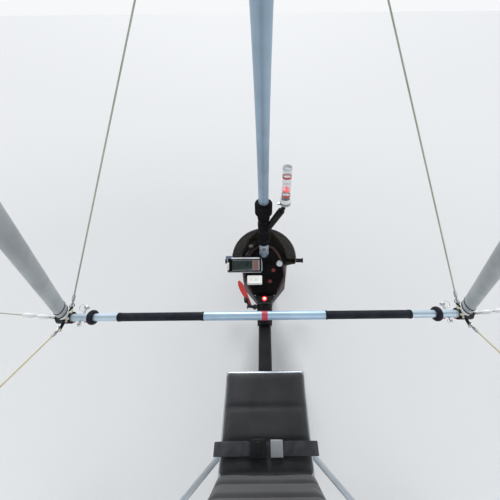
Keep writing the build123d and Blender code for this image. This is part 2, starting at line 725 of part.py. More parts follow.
# The engine: a single air-cooled cylinder behind the mast, geared to a pusher propeller
with BuildPart() as engine_mount:
    for mount_y in (MAST_RADIUS, -MAST_RADIUS - 6):
        plate_along_y(
            [
                (mast_at(660) + 15, 660),
                (mast_at(540) + 15, 540),
                (-585, 588),
                (-585, 612),
                (-380, 612),
            ],
            mount_y,
            6,
        )
    block(station(-485, 0, 617), 200, 150, 10)
    for side_name, side in SIDES:
        rod(station(-520, side * 22, 290), station(-565, side * 22, 600), 10)
    add(base_space.part, mode=Mode.SUBTRACT)
keep(engine_mount, "engine_mount")
FLANGE_LOBES = 6
STARTER_SLOTS = 8
with BuildPart() as engine_crankcase:
    rod(station(-572, 0, CRANK_Z), station(-462, 0, CRANK_Z), 68)
    for flange_low in (-572, -525, -474):
        rod(station(flange_low, 0, CRANK_Z), station(flange_low + 8, 0, CRANK_Z), 73)
    for lobe in range(FLANGE_LOBES):
        around = radians(lobe * 360 / FLANGE_LOBES)
        lobe_y, lobe_z = 72 * cos(around), CRANK_Z + 72 * sin(around)
        rod(station(-530, lobe_y, lobe_z), station(-512, lobe_y, lobe_z), 8)
    block(station(-517, 0, 656), 92, 112, 44)
    for foot_ahead in (-548, -486):
        for foot_left in (-46, 46):
            rod(station(foot_ahead, foot_left, 622), station(foot_ahead, foot_left, 640), 13)
    block(station(ENGINE_STATION, 0, 765), 100, 100, 24, 8)
    starter_plane = Plane(origin=station(-462, 0, CRANK_Z), z_dir=(1, 0, 0))
    with BuildSketch(starter_plane):
        Circle(64)
    with BuildSketch(starter_plane.offset(26)):
        Circle(60)
    loft(ruled=True)
    with BuildSketch(starter_plane.offset(26)):
        Circle(60)
    with BuildSketch(starter_plane.offset(38)):
        Circle(44)
    loft(ruled=True)
    with BuildSketch(starter_plane.offset(30)):
        with PolarLocations(31, STARTER_SLOTS):
            SlotOverall(16, 6)
    extrude(amount=9, mode=Mode.SUBTRACT)
    rod(station(-424, 0, CRANK_Z), station(-416, 0, CRANK_Z), 16)
keep(engine_crankcase, "engine_crankcase")
FINS = (
    # height of the fin's foot, length, width, thickness
    (783, 92, 104, 3),
    (794, 94, 106, 3),
    (805, 96, 108, 3),
    (816, 98, 110, 3),
    (827, 99, 112, 3),
    (838, 100, 113, 3),
    (849, 101, 114, 3),
    (860, 102, 115, 3),
    (876, 104, 116, 4),
    (888, 102, 114, 4),
    (900, 96, 108, 4),
)
with BuildPart() as engine_cylinder:
    rod(station(ENGINE_STATION, 0, 777), station(ENGINE_STATION, 0, 904), 38)
    rod(station(ENGINE_STATION, 0, 863), station(ENGINE_STATION, 0, 876), 50)
    for fin_z, fin_length, fin_width, fin_thickness in FINS:
        with BuildSketch(Plane(origin=station(ENGINE_STATION, 0, fin_z))):
            RectangleRounded(fin_length, fin_width, 24)
        extrude(amount=fin_thickness)
    for stud_ahead in (-34, 34):
        for stud_left in (-34, 34):
            stud = station(ENGINE_STATION + stud_ahead, stud_left, 770)
            rod(stud, stud + Vector(0, 0, 140), 5)
    rod(station(ENGINE_STATION, 0, 904), station(ENGINE_STATION, 0, 912), 18)
    rod(station(ENGINE_STATION, 0, 912), station(ENGINE_STATION, 0, 920), 11)
    rod(station(ENGINE_STATION, 0, 920), station(ENGINE_STATION, 0, 948), 8)
    add(engine_crankcase.part, mode=Mode.SUBTRACT)
keep(engine_cylinder, "engine_cylinder")
GEARBOX_BOLTS = 6
with BuildPart() as drive_housing:
    for case_rear, case_front, case_radius in ((-632, -624, 49), (-624, -572, 54)):
        rod(station(case_rear, 0, CRANK_Z), station(case_front, 0, CRANK_Z), case_radius)
        rod(station(case_rear, 0, SHAFT_Z), station(case_front, 0, SHAFT_Z), case_radius)
        case_middle = station((case_rear + case_front) / 2, 0, (CRANK_Z + SHAFT_Z) / 2)
        block(case_middle, case_front - case_rear, 2 * case_radius, SHAFT_Z - CRANK_Z)
    for case_z, first_bolt in ((CRANK_Z, 180), (SHAFT_Z, 0)):
        for bolt in range(GEARBOX_BOLTS // 2):
            around = radians(first_bolt + 30 + bolt * 60)
            bolt_foot = station(-628, 53 * cos(around), case_z + 53 * sin(around))
            rod(bolt_foot, bolt_foot + Vector(50, 0, 0), 9)
    rod(station(-640, 0, SHAFT_Z), station(-632, 0, SHAFT_Z), 26)
    rod(station(-688, 0, SHAFT_Z), station(-632, 0, SHAFT_Z), 12)
    for neighbour in (engine_crankcase, engine_cylinder):
        add(neighbour.part, mode=Mode.SUBTRACT)
keep(drive_housing, "drive_housing")

# The exhaust: a header that bends down into a can with coned ends, and its tail pipe
MUFFLER_LEFT = 162
MUFFLER_PROFILE = (
    # height, radius
    (762, 19),
    (728, 48),
    (604, 48),
    (572, 13),
)
with BuildPart() as exhaust:
    port = station(ENGINE_STATION, 34, 822)
    header_corner = station(ENGINE_STATION, MUFFLER_LEFT - 60, 822)
    header_end = station(ENGINE_STATION, MUFFLER_LEFT, 762)
    with BuildLine() as header_line:
        header_run = Line(port, header_corner)
        TangentArc(header_corner, header_end, tangent=header_run % 1)
    with BuildSketch(Plane(origin=port, z_dir=(0, 1, 0))):
        Circle(19)
    sweep(path=header_line.line)
    rod(station(ENGINE_STATION, 50, 822), station(ENGINE_STATION, 62, 822), 28)
    for (high, high_radius), (low, low_radius) in zip(MUFFLER_PROFILE, MUFFLER_PROFILE[1:]):
        with BuildSketch(Plane(origin=station(ENGINE_STATION, MUFFLER_LEFT, low))):
            Circle(low_radius)
        with BuildSketch(Plane(origin=station(ENGINE_STATION, MUFFLER_LEFT, high))):
            Circle(high_radius)
        loft(ruled=True)
    for seam_z in (608, 720):
        rod(
            station(ENGINE_STATION, MUFFLER_LEFT, seam_z),
            station(ENGINE_STATION, MUFFLER_LEFT, seam_z + 5),
            50,
        )
    rod(station(ENGINE_STATION, MUFFLER_LEFT, 520), station(ENGINE_STATION, MUFFLER_LEFT, 574), 13, 11)
    block(station(ENGINE_STATION, 88, 650), 20, 60, 6)
    for neighbour in (engine_cylinder, engine_crankcase):
        add(neighbour.part, mode=Mode.SUBTRACT)
keep(exhaust, "exhaust")

# The carburettor on its rubber flange, and the coned air filter behind its clamp
FILTER_PROFILE = (
    # left, radius
    (-128, 33),
    (-138, 44),
    (-206, 36),
)
with BuildPart() as carburettor:
    rod(station(ENGINE_STATION, -34, 830), station(ENGINE_STATION, -66, 830), 22)
    rod(station(ENGINE_STATION, -62, 830), station(ENGINE_STATION, -128, 830), 19)
    block(station(ENGINE_STATION, -94, 830), 44, 44, 46, 6)
    rod(station(ENGINE_STATION, -94, 786), station(ENGINE_STATION, -94, 812), 19)
    rod(station(ENGINE_STATION, -94, 850), station(ENGINE_STATION, -94, 884), 15)
    rod(station(ENGINE_STATION, -94, 884), station(ENGINE_STATION, -94, 890), 18)
    rod(station(ENGINE_STATION, -114, 830), station(ENGINE_STATION, -120, 830), 25)
    add(engine_cylinder.part, mode=Mode.SUBTRACT)
keep(carburettor, "carburettor")
with BuildPart() as air_filter:
    for (near, near_radius), (far, far_radius) in zip(FILTER_PROFILE, FILTER_PROFILE[1:]):
        with BuildSketch(Plane(origin=station(ENGINE_STATION, near, 830), z_dir=(0, -1, 0))):
            Circle(near_radius)
        with BuildSketch(Plane(origin=station(ENGINE_STATION, far, 830), z_dir=(0, -1, 0))):
            Circle(far_radius)
        loft(ruled=True)
    rod(station(ENGINE_STATION, -204, 830), station(ENGINE_STATION, -212, 830), 38)
    add(carburettor.part, mode=Mode.SUBTRACT)
keep(air_filter, "air_filter")

# The propeller: a hub on the gearbox shaft and three twisted blades
hub_centre = station(BLADE_STATION, 0, SHAFT_Z)
BLADE_SECTIONS = (
    # radius, chord, thickness, twist
    (50, 56, 22, 46),
    (150, 92, 17, 36),
    (320, 88, 11, 22),
    (480, 68, 8, 15),
    (PROPELLER_RADIUS, 34, 4, 12),
)
HUB_BOLTS = 6
with BuildPart() as propeller_hub:
    rod(station(-690, 0, SHAFT_Z), station(-644, 0, SHAFT_Z), 30, 12 + RUNNING)
    rod(station(-690, 0, SHAFT_Z), station(-680, 0, SHAFT_Z), 44, 12 + RUNNING)
    rod(station(-742, 0, SHAFT_Z), station(-730, 0, SHAFT_Z), 45)
    for hub_bolt in range(HUB_BOLTS):
        around = radians(hub_bolt * 360 / HUB_BOLTS)
        bolt_y, bolt_z = 34 * cos(around), SHAFT_Z + 34 * sin(around)
        rod(station(-749, bolt_y, bolt_z), station(-742, bolt_y, bolt_z), 6)
keep(propeller_hub, "propeller_hub")
BLADE_COUNT = 3
with BuildPart() as propeller_blades:
    for blade in range(BLADE_COUNT):
        around = radians(90 + blade * 360 / BLADE_COUNT)
        outwards = Vector(0, cos(around), sin(around))
        sideways = Vector(0, -sin(around), cos(around))
        blade_sections = []
        for radius, chord, thickness, twist in BLADE_SECTIONS:
            tilt = radians(twist)
            chord_line = sideways * cos(tilt) + Vector(1, 0, 0) * sin(tilt)
            with BuildSketch(
                Plane(origin=hub_centre + outwards * radius, x_dir=chord_line, z_dir=outwards)
            ) as section:
                with BuildLine():
                    ThreePointArc((-chord / 2, 0), (0, thickness * 0.7), (chord / 2, 0))
                    ThreePointArc((chord / 2, 0), (0, -thickness * 0.3), (-chord / 2, 0))
                make_face()
            blade_sections.append(section.sketch)
        loft(blade_sections)
        rod(hub_centre + outwards * 10, hub_centre + outwards * 62, 15)
    rod(station(-730, 0, SHAFT_Z), station(-690, 0, SHAFT_Z), 45)
    add(propeller_hub.part, mode=Mode.SUBTRACT)
keep(propeller_blades, "propeller_blades")

# The hang block: it turns on the hang bolt, and the keel turns in its ring
wing_ahead = (on_wing(1, 0, 0) - on_wing(0, 0, 0)).normalized()
wing_up = (on_wing(0, 0, 1) - on_wing(0, 0, 0)).normalized()


def wing_box(ahead, left, up, along, wide, high, mode=Mode.ADD):
    """Adds a box with its edges along the wing's axes."""
    with BuildSketch(
        Plane(origin=on_wing(ahead, left, up - high / 2), x_dir=wing_ahead, z_dir=wing_up)
    ) as section:
        Rectangle(along, wide)
    extrude(section.sketch, amount=high, mode=mode)


with BuildPart() as hang_block:
    wing_box(0, 0, 20, 44, 44, 70)
    rod(on_wing(-30, 0, KEEL_UP), on_wing(30, 0, KEEL_UP), 31)
    bore(on_wing(-31, 0, KEEL_UP), on_wing(31, 0, KEEL_UP), KEEL_RADIUS + RUNNING)
    bore(station(0, -23, HANG_Z), station(0, 23, HANG_Z), HANG_BOLT_RADIUS + RUNNING)
keep(hang_block, "hang_block")

# The wing's keel, with its stop collars either side of the hang block
with BuildPart() as wing_keel:
    rod(
        on_wing(KEEL_TAIL, 0, KEEL_UP), on_wing(KEEL_NOSE, 0, KEEL_UP), KEEL_RADIUS, KEEL_RADIUS - 2
    )
    for collar in (-54, 36):
        rod(on_wing(collar, 0, KEEL_UP), on_wing(collar + 18, 0, KEEL_UP), 30, KEEL_RADIUS - 1)
    wing_box(REAR_TANG, 0, KEEL_UP - 38, 16, 44, 34)
    rod(on_wing(-1560, 0, KEEL_UP + 21), on_wing(-1560, 0, KEEL_UP + 55), TANG_RADIUS)
    bore(on_wing(REAR_TANG - 9, 0, KEEL_UP), on_wing(REAR_TANG + 9, 0, KEEL_UP), KEEL_RADIUS - 2)
keep(wing_keel, "wing_keel")
with BuildPart() as keel_space:
    rod(on_wing(KEEL_TAIL, 0, KEEL_UP), on_wing(KEEL_NOSE, 0, KEEL_UP), KEEL_RADIUS)


def edge_at(left):
    """Distance ahead of the hang bolt of the leading edge's middle line."""
    return EDGE_START[0] - (abs(left) - EDGE_START[1]) / tan(NOSE_ANGLE)


def on_edge(side, left, up=KEEL_UP):
    """Point on a leading edge's middle line, or above or below it."""
    return on_wing(edge_at(left), side * left, up)


# The leading edges, the nose plates that join them to the keel, and the cross tubes
with BuildPart() as leading_edges:
    for side_name, side in SIDES:
        rod(on_edge(side, EDGE_START[1]), on_edge(side, HALF_SPAN), EDGE_RADIUS, EDGE_RADIUS - 2)
        rod(on_edge(side, HALF_SPAN - 12), on_edge(side, HALF_SPAN), EDGE_RADIUS - 2)
        rod(on_edge(side, CROSS_LEFT, KEEL_UP - 52), on_edge(side, CROSS_LEFT, KEEL_UP - 24), 12)
        rod(
            on_edge(side, CROSS_LEFT, KEEL_UP + 24),
            on_edge(side, CROSS_LEFT, KEEL_UP + 52),
            TANG_RADIUS,
        )
keep(leading_edges, "leading_edges")
with BuildPart() as nose_plates:
    for plate_up in (KEEL_UP + EDGE_RADIUS, KEEL_UP - EDGE_RADIUS - 4):
        with BuildSketch(Plane(origin=on_wing(0, 0, plate_up), x_dir=wing_ahead, z_dir=wing_up)):
            with BuildLine():
                Polyline((1345, 28), (1180, 118), (1180, -118), (1345, -28), close=True)
            make_face()
        extrude(amount=4)
    rod(on_wing(1300, 0, KEEL_UP - 60), on_wing(1300, 0, KEEL_UP - EDGE_RADIUS), TANG_RADIUS)
    rod(on_wing(1300, 0, KEEL_UP + EDGE_RADIUS), on_wing(1300, 0, KEEL_UP + 60), TANG_RADIUS)
    rod(on_wing(1285, 0, KEEL_UP - 26), on_wing(1285, 0, KEEL_UP + 26), 8)
    add(keel_space.part, mode=Mode.SUBTRACT)
keep(nose_plates, "nose_plates")
CROSS_MIDDLE = (-104, 128)
CROSS_END_UP = KEEL_UP - 75
with BuildPart() as cross_tubes:
    for side_name, side in SIDES:
        rod(
            on_wing(CROSS_MIDDLE[0], side * 24, CROSS_MIDDLE[1]),
            on_edge(side, CROSS_LEFT, CROSS_END_UP),
            CROSS_RADIUS,
            CROSS_RADIUS - 2,
        )
        rod(on_edge(side, CROSS_LEFT, CROSS_END_UP - 20), on_edge(side, CROSS_LEFT, KEEL_UP - 52), 12)
    wing_box(CROSS_MIDDLE[0], 0, CROSS_MIDDLE[1], 44, 70, 40)
    wing_box(CROSS_MIDDLE[0], 0, 103, 30, 24, 20)
    add(keel_space.part, mode=Mode.SUBTRACT)
keep(cross_tubes, "cross_tubes")

# The control frame: apex bracket, uprights, base bar and corner fittings
APEX_TOP = 101
with BuildPart() as apex_bracket:
    wing_box(APEX_AHEAD, 0, 38, 64, 64, 60)
    wing_box(APEX_AHEAD, 0, APEX_TOP - 26, 60, 56, 52)
    add(keel_space.part, mode=Mode.SUBTRACT)
keep(apex_bracket, "apex_bracket")
UPRIGHT_CHORD, UPRIGHT_THICK = 48, 26
KNUCKLE_NECK, PLUG_END = 25, 78


def bar_corner(side):
    """Where the middle lines of an upright and the base bar meet."""
    return on_wing(BAR_AHEAD, side * BAR_HALF, BAR_UP)


def upright_plane(side, along):
    """Plane across an upright, this far up it from the corner, with X ahead."""
    run = (on_wing(APEX_AHEAD, side * 48, 24) - bar_corner(side)).normalized()
    across = wing_ahead - run * wing_ahead.dot(run)
    return Plane(origin=bar_corner(side) + run * along, x_dir=across, z_dir=run)


UPRIGHT_LENGTH = (on_wing(APEX_AHEAD, 48, 24) - bar_corner(1)).length
with BuildPart() as uprights:
    for side_name, side in SIDES:
        with BuildSketch(upright_plane(side, PLUG_END)):
            Ellipse(UPRIGHT_CHORD / 2, UPRIGHT_THICK / 2)
        extrude(amount=UPRIGHT_LENGTH - PLUG_END)
    add(apex_bracket.part, mode=Mode.SUBTRACT)
keep(uprights, "uprights")

# The plug in an upright's lower end: it tapers from the tube's own outline into the corner fitting
PLUG_SECTIONS = (
    # distance from the corner, chord, thickness
    (KNUCKLE_NECK, 28, 19),
    (KNUCKLE_NECK + 20, 41, 24),
    (PLUG_END, UPRIGHT_CHORD, UPRIGHT_THICK),
)
with BuildPart() as upright_ends:
    for side_name, side in SIDES:
        plug_cuts = []
        for along, chord, thickness in PLUG_SECTIONS:
            with BuildSketch(upright_plane(side, along)) as section:
                Ellipse(chord / 2, thickness / 2)
            plug_cuts.append(section.sketch)
        loft(plug_cuts, ruled=True)
keep(upright_ends, "upright_ends")
with BuildPart() as corner_fittings:
    for side_name, side in SIDES:
        with BuildSketch(upright_plane(side, 0)):
            RectangleRounded(36, UPRIGHT_THICK + 2, 8)
        extrude(amount=KNUCKLE_NECK)
        corner_out = bar_corner(side) + Vector(0, side * 24, 0)
        corner_in = bar_corner(side) - Vector(0, side * 24, 0)
        rod(corner_in, corner_out, 22)
        rod(corner_out - Vector(0, side * 2, 0), corner_out + Vector(0, side * 6, 0), 14)
        for tang in (wing_ahead, -wing_ahead, Vector(0, side, 0)):
            rod(bar_corner(side) + tang * 20, bar_corner(side) + tang * 44, TANG_RADIUS)
    add(upright_ends.part, mode=Mode.SUBTRACT)
keep(corner_fittings, "corner_fittings")
BAR_END = BAR_HALF - 24
SLEEVE_HALF, GRIP_END = 230, 547
COLLAR_LEFT, COLLAR_WIDTH, COLLAR_RADIUS = 634, 28, 29
with BuildPart() as base_bar:
    rod(on_wing(BAR_AHEAD, -BAR_END, BAR_UP), on_wing(BAR_AHEAD, BAR_END, BAR_UP), 14.5, 12.5)
keep(base_bar, "base_bar")
with BuildPart() as bar_sleeve:
    rod(
        on_wing(BAR_AHEAD, -SLEEVE_HALF, BAR_UP), on_wing(BAR_AHEAD, SLEEVE_HALF, BAR_UP), 16.5, 14.5
    )
keep(bar_sleeve, "bar_sleeve")
with BuildPart() as centre_band:
    rod(on_wing(BAR_AHEAD, -11, BAR_UP), on_wing(BAR_AHEAD, 11, BAR_UP), 17.2, 16.5)
keep(centre_band, "centre_band")
with BuildPart() as bar_grips:
    for side_name, side in SIDES:
        rod(
            on_wing(BAR_AHEAD, side * SLEEVE_HALF, BAR_UP),
            on_wing(BAR_AHEAD, side * GRIP_END, BAR_UP),
            16,
            14.5,
        )
        bar_middle = on_wing(BAR_AHEAD, 0, BAR_UP)
        with BuildSketch(Plane(origin=bar_middle, x_dir=(0, 1, 0), z_dir=wing_ahead)) as section:
            with Locations((side * (COLLAR_LEFT + COLLAR_WIDTH / 2), (14.5 + COLLAR_RADIUS) / 2)):
                RectangleRounded(COLLAR_WIDTH, COLLAR_RADIUS - 14.5, 6)
        revolve(section.sketch, axis=Axis(bar_middle, (0, 1, 0)))
keep(bar_grips, "bar_grips")

# The king post above the keel
with BuildPart() as king_post:
    post_foot = on_wing(APEX_AHEAD, 0, APEX_TOP)
    post_top = on_wing(APEX_AHEAD, 0, POST_TOP)
    with BuildSketch(Plane(origin=post_foot, x_dir=(0, 1, 0), z_dir=wing_up)):
        Ellipse(11, 19)
    extrude(amount=POST_TOP - APEX_TOP)
    rod(post_top, post_top + wing_up * 26, 13)
keep(king_post, "king_post")

# The sail: one sheet over both halves, folded round the leading edges into a pocket
SAIL_SECTIONS = (
    # left, trailing edge ahead, trailing edge up, camber height
    (0, -1150, 116, 190),
    (1200, -1345, 175, 168),
    (2600, -1578, 205, 128),
    (3800, -1740, 196, 84),
    (4780, -1815, 150, 34),
)
SAIL_THICK = 4
POCKET_TOP, POCKET_FRONT, POCKET_TAIL = 30, 36, 62


def circle_through(first, second, third):
    """Centre and radius of the circle through three points."""
    (ax, ay), (bx, by), (cx, cy) = first, second, third
    twice = 2 * (ax * (by - cy) + bx * (cy - ay) + cx * (ay - by))
    a_square, b_square, c_square = ax**2 + ay**2, bx**2 + by**2, cx**2 + cy**2
    x = (a_square * (by - cy) + b_square * (cy - ay) + c_square * (ay - by)) / twice
    y = (a_square * (cx - bx) + b_square * (ax - cx) + c_square * (bx - ax)) / twice
    return x, y, hypot(ax - x, ay - y)


def sail_section(side, left, tail_ahead, tail_up, camber):
    """The sheet's cut at one distance from the keel: an arched top that folds round the front tube."""
    nose = edge_at(left)
    middle = (nose * 0.62 + tail_ahead * 0.38, KEEL_UP * 0.6 + tail_up * 0.4 + camber)
    nose_top = (nose, KEEL_UP + POCKET_TOP)
    arc_x, arc_y, arc_radius = circle_through((tail_ahead, tail_up), middle, nose_top)

    def under(ahead):
        """Point on the top sheet's lower face."""
        return ahead, arc_y + ((arc_radius - SAIL_THICK) ** 2 - (ahead - arc_x) ** 2) ** 0.5

    inner_top = under(nose)
    inner_low = (nose, KEEL_UP - POCKET_TOP + SAIL_THICK)
    across = Plane(origin=on_wing(0, side * left, 0), x_dir=wing_ahead, z_dir=(0, -1, 0))
    with BuildSketch(across) as section:
        with BuildLine():
            ThreePointArc((tail_ahead, tail_up), middle, nose_top)
            ThreePointArc(nose_top, (nose + POCKET_FRONT, KEEL_UP), (nose, KEEL_UP - POCKET_TOP))
            Line((nose, KEEL_UP - POCKET_TOP), (nose - POCKET_TAIL, KEEL_UP - POCKET_TOP + 8))
            Line((nose - POCKET_TAIL, KEEL_UP - POCKET_TOP + 8), (nose - POCKET_TAIL, KEEL_UP - 18))
            Line((nose - POCKET_TAIL, KEEL_UP - 18), inner_low)
            ThreePointArc(inner_low, (nose + POCKET_FRONT - SAIL_THICK, KEEL_UP), inner_top)
            ThreePointArc(inner_top, under(middle[0]), under(tail_ahead + 1))
            Line(under(tail_ahead + 1), (tail_ahead, tail_up))
        make_face()
    return section.sketch


sail_cuts = []
for row in reversed(SAIL_SECTIONS[1:]):
    sail_cuts.append(sail_section(-1, *row))
for row in SAIL_SECTIONS:
    sail_cuts.append(sail_section(1, *row))
with BuildPart() as sail:
    loft(sail_cuts, ruled=True)
    for side_name, side in SIDES:
        bore(on_edge(side, CROSS_LEFT, KEEL_UP - 60), on_edge(side, CROSS_LEFT, KEEL_UP - 10), 13)
        bore(
            on_edge(side, CROSS_LEFT, KEEL_UP + 10),
            on_edge(side, CROSS_LEFT, KEEL_UP + 60),
            TANG_RADIUS,
        )
    wing_box(1260, 0, KEEL_UP, 240, 240, 200, mode=Mode.SUBTRACT)
    wing_box(APEX_AHEAD, 0, 300, 60, 40, 300, mode=Mode.SUBTRACT)
keep(sail, "sail")

# The stay wires: front, rear and side below the wing, and the top wires from the king post
with BuildPart() as front_wires:
    for side_name, side in SIDES:
        rod(bar_corner(side) + wing_ahead * 40, on_wing(1300, 0, KEEL_UP - 52), WIRE_RADIUS)
    for neighbour in (corner_fittings, nose_plates):
        add(neighbour.part, mode=Mode.SUBTRACT)
keep(front_wires, "front_wires")
with BuildPart() as rear_wires:
    for side_name, side in SIDES:
        wire_end = on_wing(REAR_TANG, side * 14, KEEL_UP - 48)
        rod(bar_corner(side) - wing_ahead * 40, wire_end, WIRE_RADIUS)
    for neighbour in (corner_fittings, wing_keel):
        add(neighbour.part, mode=Mode.SUBTRACT)
keep(rear_wires, "rear_wires")
with BuildPart() as side_wires:
    for side_name, side in SIDES:
        wire_foot = bar_corner(side) + Vector(0, side * 40, 0)
        rod(wire_foot, on_edge(side, CROSS_LEFT, CROSS_END_UP - 21), WIRE_RADIUS)
    for neighbour in (corner_fittings, cross_tubes):
        add(neighbour.part, mode=Mode.SUBTRACT)
keep(side_wires, "side_wires")
with BuildPart() as top_wires:
    post_head = post_top + wing_up * 20
    rod(post_head, on_wing(1300, 0, KEEL_UP + 56), WIRE_RADIUS)
    rod(post_head, on_wing(-1560, 0, KEEL_UP + 50), WIRE_RADIUS)
    for side_name, side in SIDES:
        rod(post_head, on_edge(side, CROSS_LEFT, KEEL_UP + 48), WIRE_RADIUS)
    for neighbour in (king_post, nose_plates, wing_keel, leading_edges):
        add(neighbour.part, mode=Mode.SUBTRACT)
keep(top_wires, "top_wires")
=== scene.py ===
# %% [markdown]
# A single-seat microlight trike with its flex wing, dressed for a close look.
# The engineering model holds every rigid piece at its real size. This lesson gives those pieces their
# finishes, and models what an engineering model leaves out: cloth, padding, tread, bolts and dials.
# The photograph was taken from a camera on the mast, so the control bar and the pod matter most.

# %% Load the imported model
import json
from math import asin, atan2, cos, pi, radians, sin, sqrt, tan

import bmesh
import bpy
from mathutils import Matrix, Vector

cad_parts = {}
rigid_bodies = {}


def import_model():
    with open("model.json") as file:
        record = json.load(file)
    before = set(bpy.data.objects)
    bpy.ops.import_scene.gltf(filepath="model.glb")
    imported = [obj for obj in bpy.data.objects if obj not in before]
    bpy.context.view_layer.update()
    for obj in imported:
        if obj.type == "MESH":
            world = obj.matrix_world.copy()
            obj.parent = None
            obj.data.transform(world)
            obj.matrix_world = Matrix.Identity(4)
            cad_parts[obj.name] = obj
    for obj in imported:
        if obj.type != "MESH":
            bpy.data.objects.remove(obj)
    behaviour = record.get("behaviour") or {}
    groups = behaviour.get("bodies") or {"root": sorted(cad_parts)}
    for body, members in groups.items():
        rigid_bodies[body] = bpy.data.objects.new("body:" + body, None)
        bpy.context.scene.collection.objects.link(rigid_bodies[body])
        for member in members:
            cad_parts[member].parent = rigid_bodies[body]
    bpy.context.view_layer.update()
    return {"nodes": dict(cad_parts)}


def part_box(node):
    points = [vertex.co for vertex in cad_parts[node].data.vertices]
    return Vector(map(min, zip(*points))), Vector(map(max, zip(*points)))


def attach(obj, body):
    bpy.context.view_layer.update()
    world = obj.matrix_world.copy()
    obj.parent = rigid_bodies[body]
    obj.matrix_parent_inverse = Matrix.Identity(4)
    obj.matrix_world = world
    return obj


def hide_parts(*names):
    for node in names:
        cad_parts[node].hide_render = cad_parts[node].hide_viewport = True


for leftover in list(bpy.data.objects):
    bpy.data.objects.remove(leftover)
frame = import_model()
print("pieces in the packed model:", len(frame["nodes"]))

# %% [markdown]
# The aircraft has three slanted frames of reference: the wing hangs nose up from its bolt, the fork
# leans back on its steering axis and the front strut leans back too. A few short functions turn a
# distance along such a frame into a place in the scene, so that every later number stays readable.
# Lengths are in metres from here on.

# %% Places on the trike, on the wing and on the fork
HANG_BOLT = Vector((0.242, 0.0, 2.270))
WING_PITCH = radians(5.5)
WING_AHEAD = Vector((cos(WING_PITCH), 0.0, sin(WING_PITCH)))
WING_UP = Vector((-sin(WING_PITCH), 0.0, cos(WING_PITCH)))
LEFT = Vector((0.0, 1.0, 0.0))
UP = Vector((0.0, 0.0, 1.0))
AHEAD = Vector((1.0, 0.0, 0.0))
ORIGIN = Vector((0.0, 0.0, 0.0))
SIDES = (1, -1)  # left and right of the middle


def on_trike(ahead, left, up):
    """Place on the trike: ahead of the hang bolt, left of the middle, above the ground."""
    return Vector((HANG_BOLT.x + ahead, left, up))


def on_wing(ahead, left, up):
    """Place on the wing: ahead of the hang bolt, left of the keel, above the bolt."""
    return HANG_BOLT + WING_AHEAD * ahead + LEFT * left + WING_UP * up


RAKE = radians(20)
NOSE_AXLE = on_trike(1.187, 0, 0.150)
FORK_UP = Vector((-sin(RAKE), 0.0, cos(RAKE)))
FORK_AHEAD = Vector((cos(RAKE), 0.0, sin(RAKE)))
STRUT_FOOT = on_trike(0.970, 0, 0.430)
STRUT_BEND = on_trike(0.940, 0, 1.000)
STRUT_UP = (STRUT_BEND - STRUT_FOOT).normalized()
print("hang bolt at", tuple(HANG_BOLT), "and nose axle at", tuple(NOSE_AXLE))

# %% [markdown]
# The camera sits on the front of the mast, looks ahead and 45 degrees down, and has a very wide
# lens. Its picture is shifted a little, because the front strut stands right of the middle while the
# control bar stays even on both sides, and it is rolled by under one degree, as the bar's slope shows.

# %% The camera on the mast
CAMERA_PLACE = Vector((0.182, 0.0, 1.670))
LOOK_DOWN, ROLL = radians(45.0), radians(0.6)
LENS_MM, SENSOR_MM = 17.28, 36.0
PICTURE_SHIFT = -0.028


def camera_turn(down, roll):
    """Rotation of a camera that looks ahead and down, rolled clockwise."""
    forward = Vector((cos(down), 0.0, -sin(down)))
    top = Vector((sin(down), 0.0, cos(down)))
    top = Matrix.Rotation(roll, 3, forward) @ top
    right = forward.cross(top)
    return Matrix((right, top, -forward)).transposed().to_euler()


bpy.ops.object.camera_add(location=CAMERA_PLACE, rotation=camera_turn(LOOK_DOWN, ROLL))
camera = bpy.context.object
camera.name = "mast_camera"
camera.data.lens = LENS_MM
camera.data.sensor_width = SENSOR_MM
camera.data.shift_x = PICTURE_SHIFT
camera.data.clip_start = 0.02
bpy.context.scene.camera = camera
bpy.context.scene.view_settings.view_transform = "Standard"
print("camera at", tuple(camera.location), "with a lens of", LENS_MM, "mm")

# %% [markdown]
# A workshop floor, pale and plain, and soft light. The wing is a large roof over the trike, so the
# main light is a low soft sun from ahead and to the left that reaches under it. A second, much softer
# sun from behind fills the shadows. The world looks near white to the camera and in reflections,
# but lights softly.

# %% Floor and light
SKY_SHOWN = (0.93, 0.94, 0.95)
SKY_LIGHT, SKY_STRENGTH = (0.95, 0.97, 1.0), 0.62
FLOOR_SIZE, FLOOR_COLOUR = 500, (0.74, 0.75, 0.76)
SUNS = (
    # name, turn about X, Y and Z in degrees, strength, how wide it looks in degrees
    ("low_sun", (8, 52, 14), 1.9, 14),
    ("rear_fill", (20, -58, 0), 0.75, 60),
)


def select_none():
    """Leaves nothing selected, so that the next operator touches only what it is meant to."""
    bpy.ops.object.select_all(action="DESELECT")


def make_active(piece):
    """Selects one object alone and makes it the active one."""
    select_none()
    piece.select_set(True)
    bpy.context.view_layer.objects.active = piece


world = bpy.data.worlds.new("studio")
bpy.context.scene.world = world
world.use_nodes = True
sky = world.node_tree
shown = sky.nodes["Background"]
shown.inputs["Color"].default_value = (*SKY_SHOWN, 1.0)
shown.inputs["Strength"].default_value = 1.0
lighting = sky.nodes.new("ShaderNodeBackground")
lighting.inputs["Color"].default_value = (*SKY_LIGHT, 1.0)
lighting.inputs["Strength"].default_value = SKY_STRENGTH
path = sky.nodes.new("ShaderNodeLightPath")
shown_to = path.outputs["Is Camera Ray"]
for ray in ("Is Glossy Ray", "Is Transmission Ray"):
    either = sky.nodes.new("ShaderNodeMath")
    either.operation = "MAXIMUM"
    sky.links.new(shown_to, either.inputs[0])
    sky.links.new(path.outputs[ray], either.inputs[1])
    shown_to = either.outputs[0]
choice = sky.nodes.new("ShaderNodeMixShader")
sky.links.new(shown_to, choice.inputs["Fac"])
sky.links.new(lighting.outputs["Background"], choice.inputs[1])
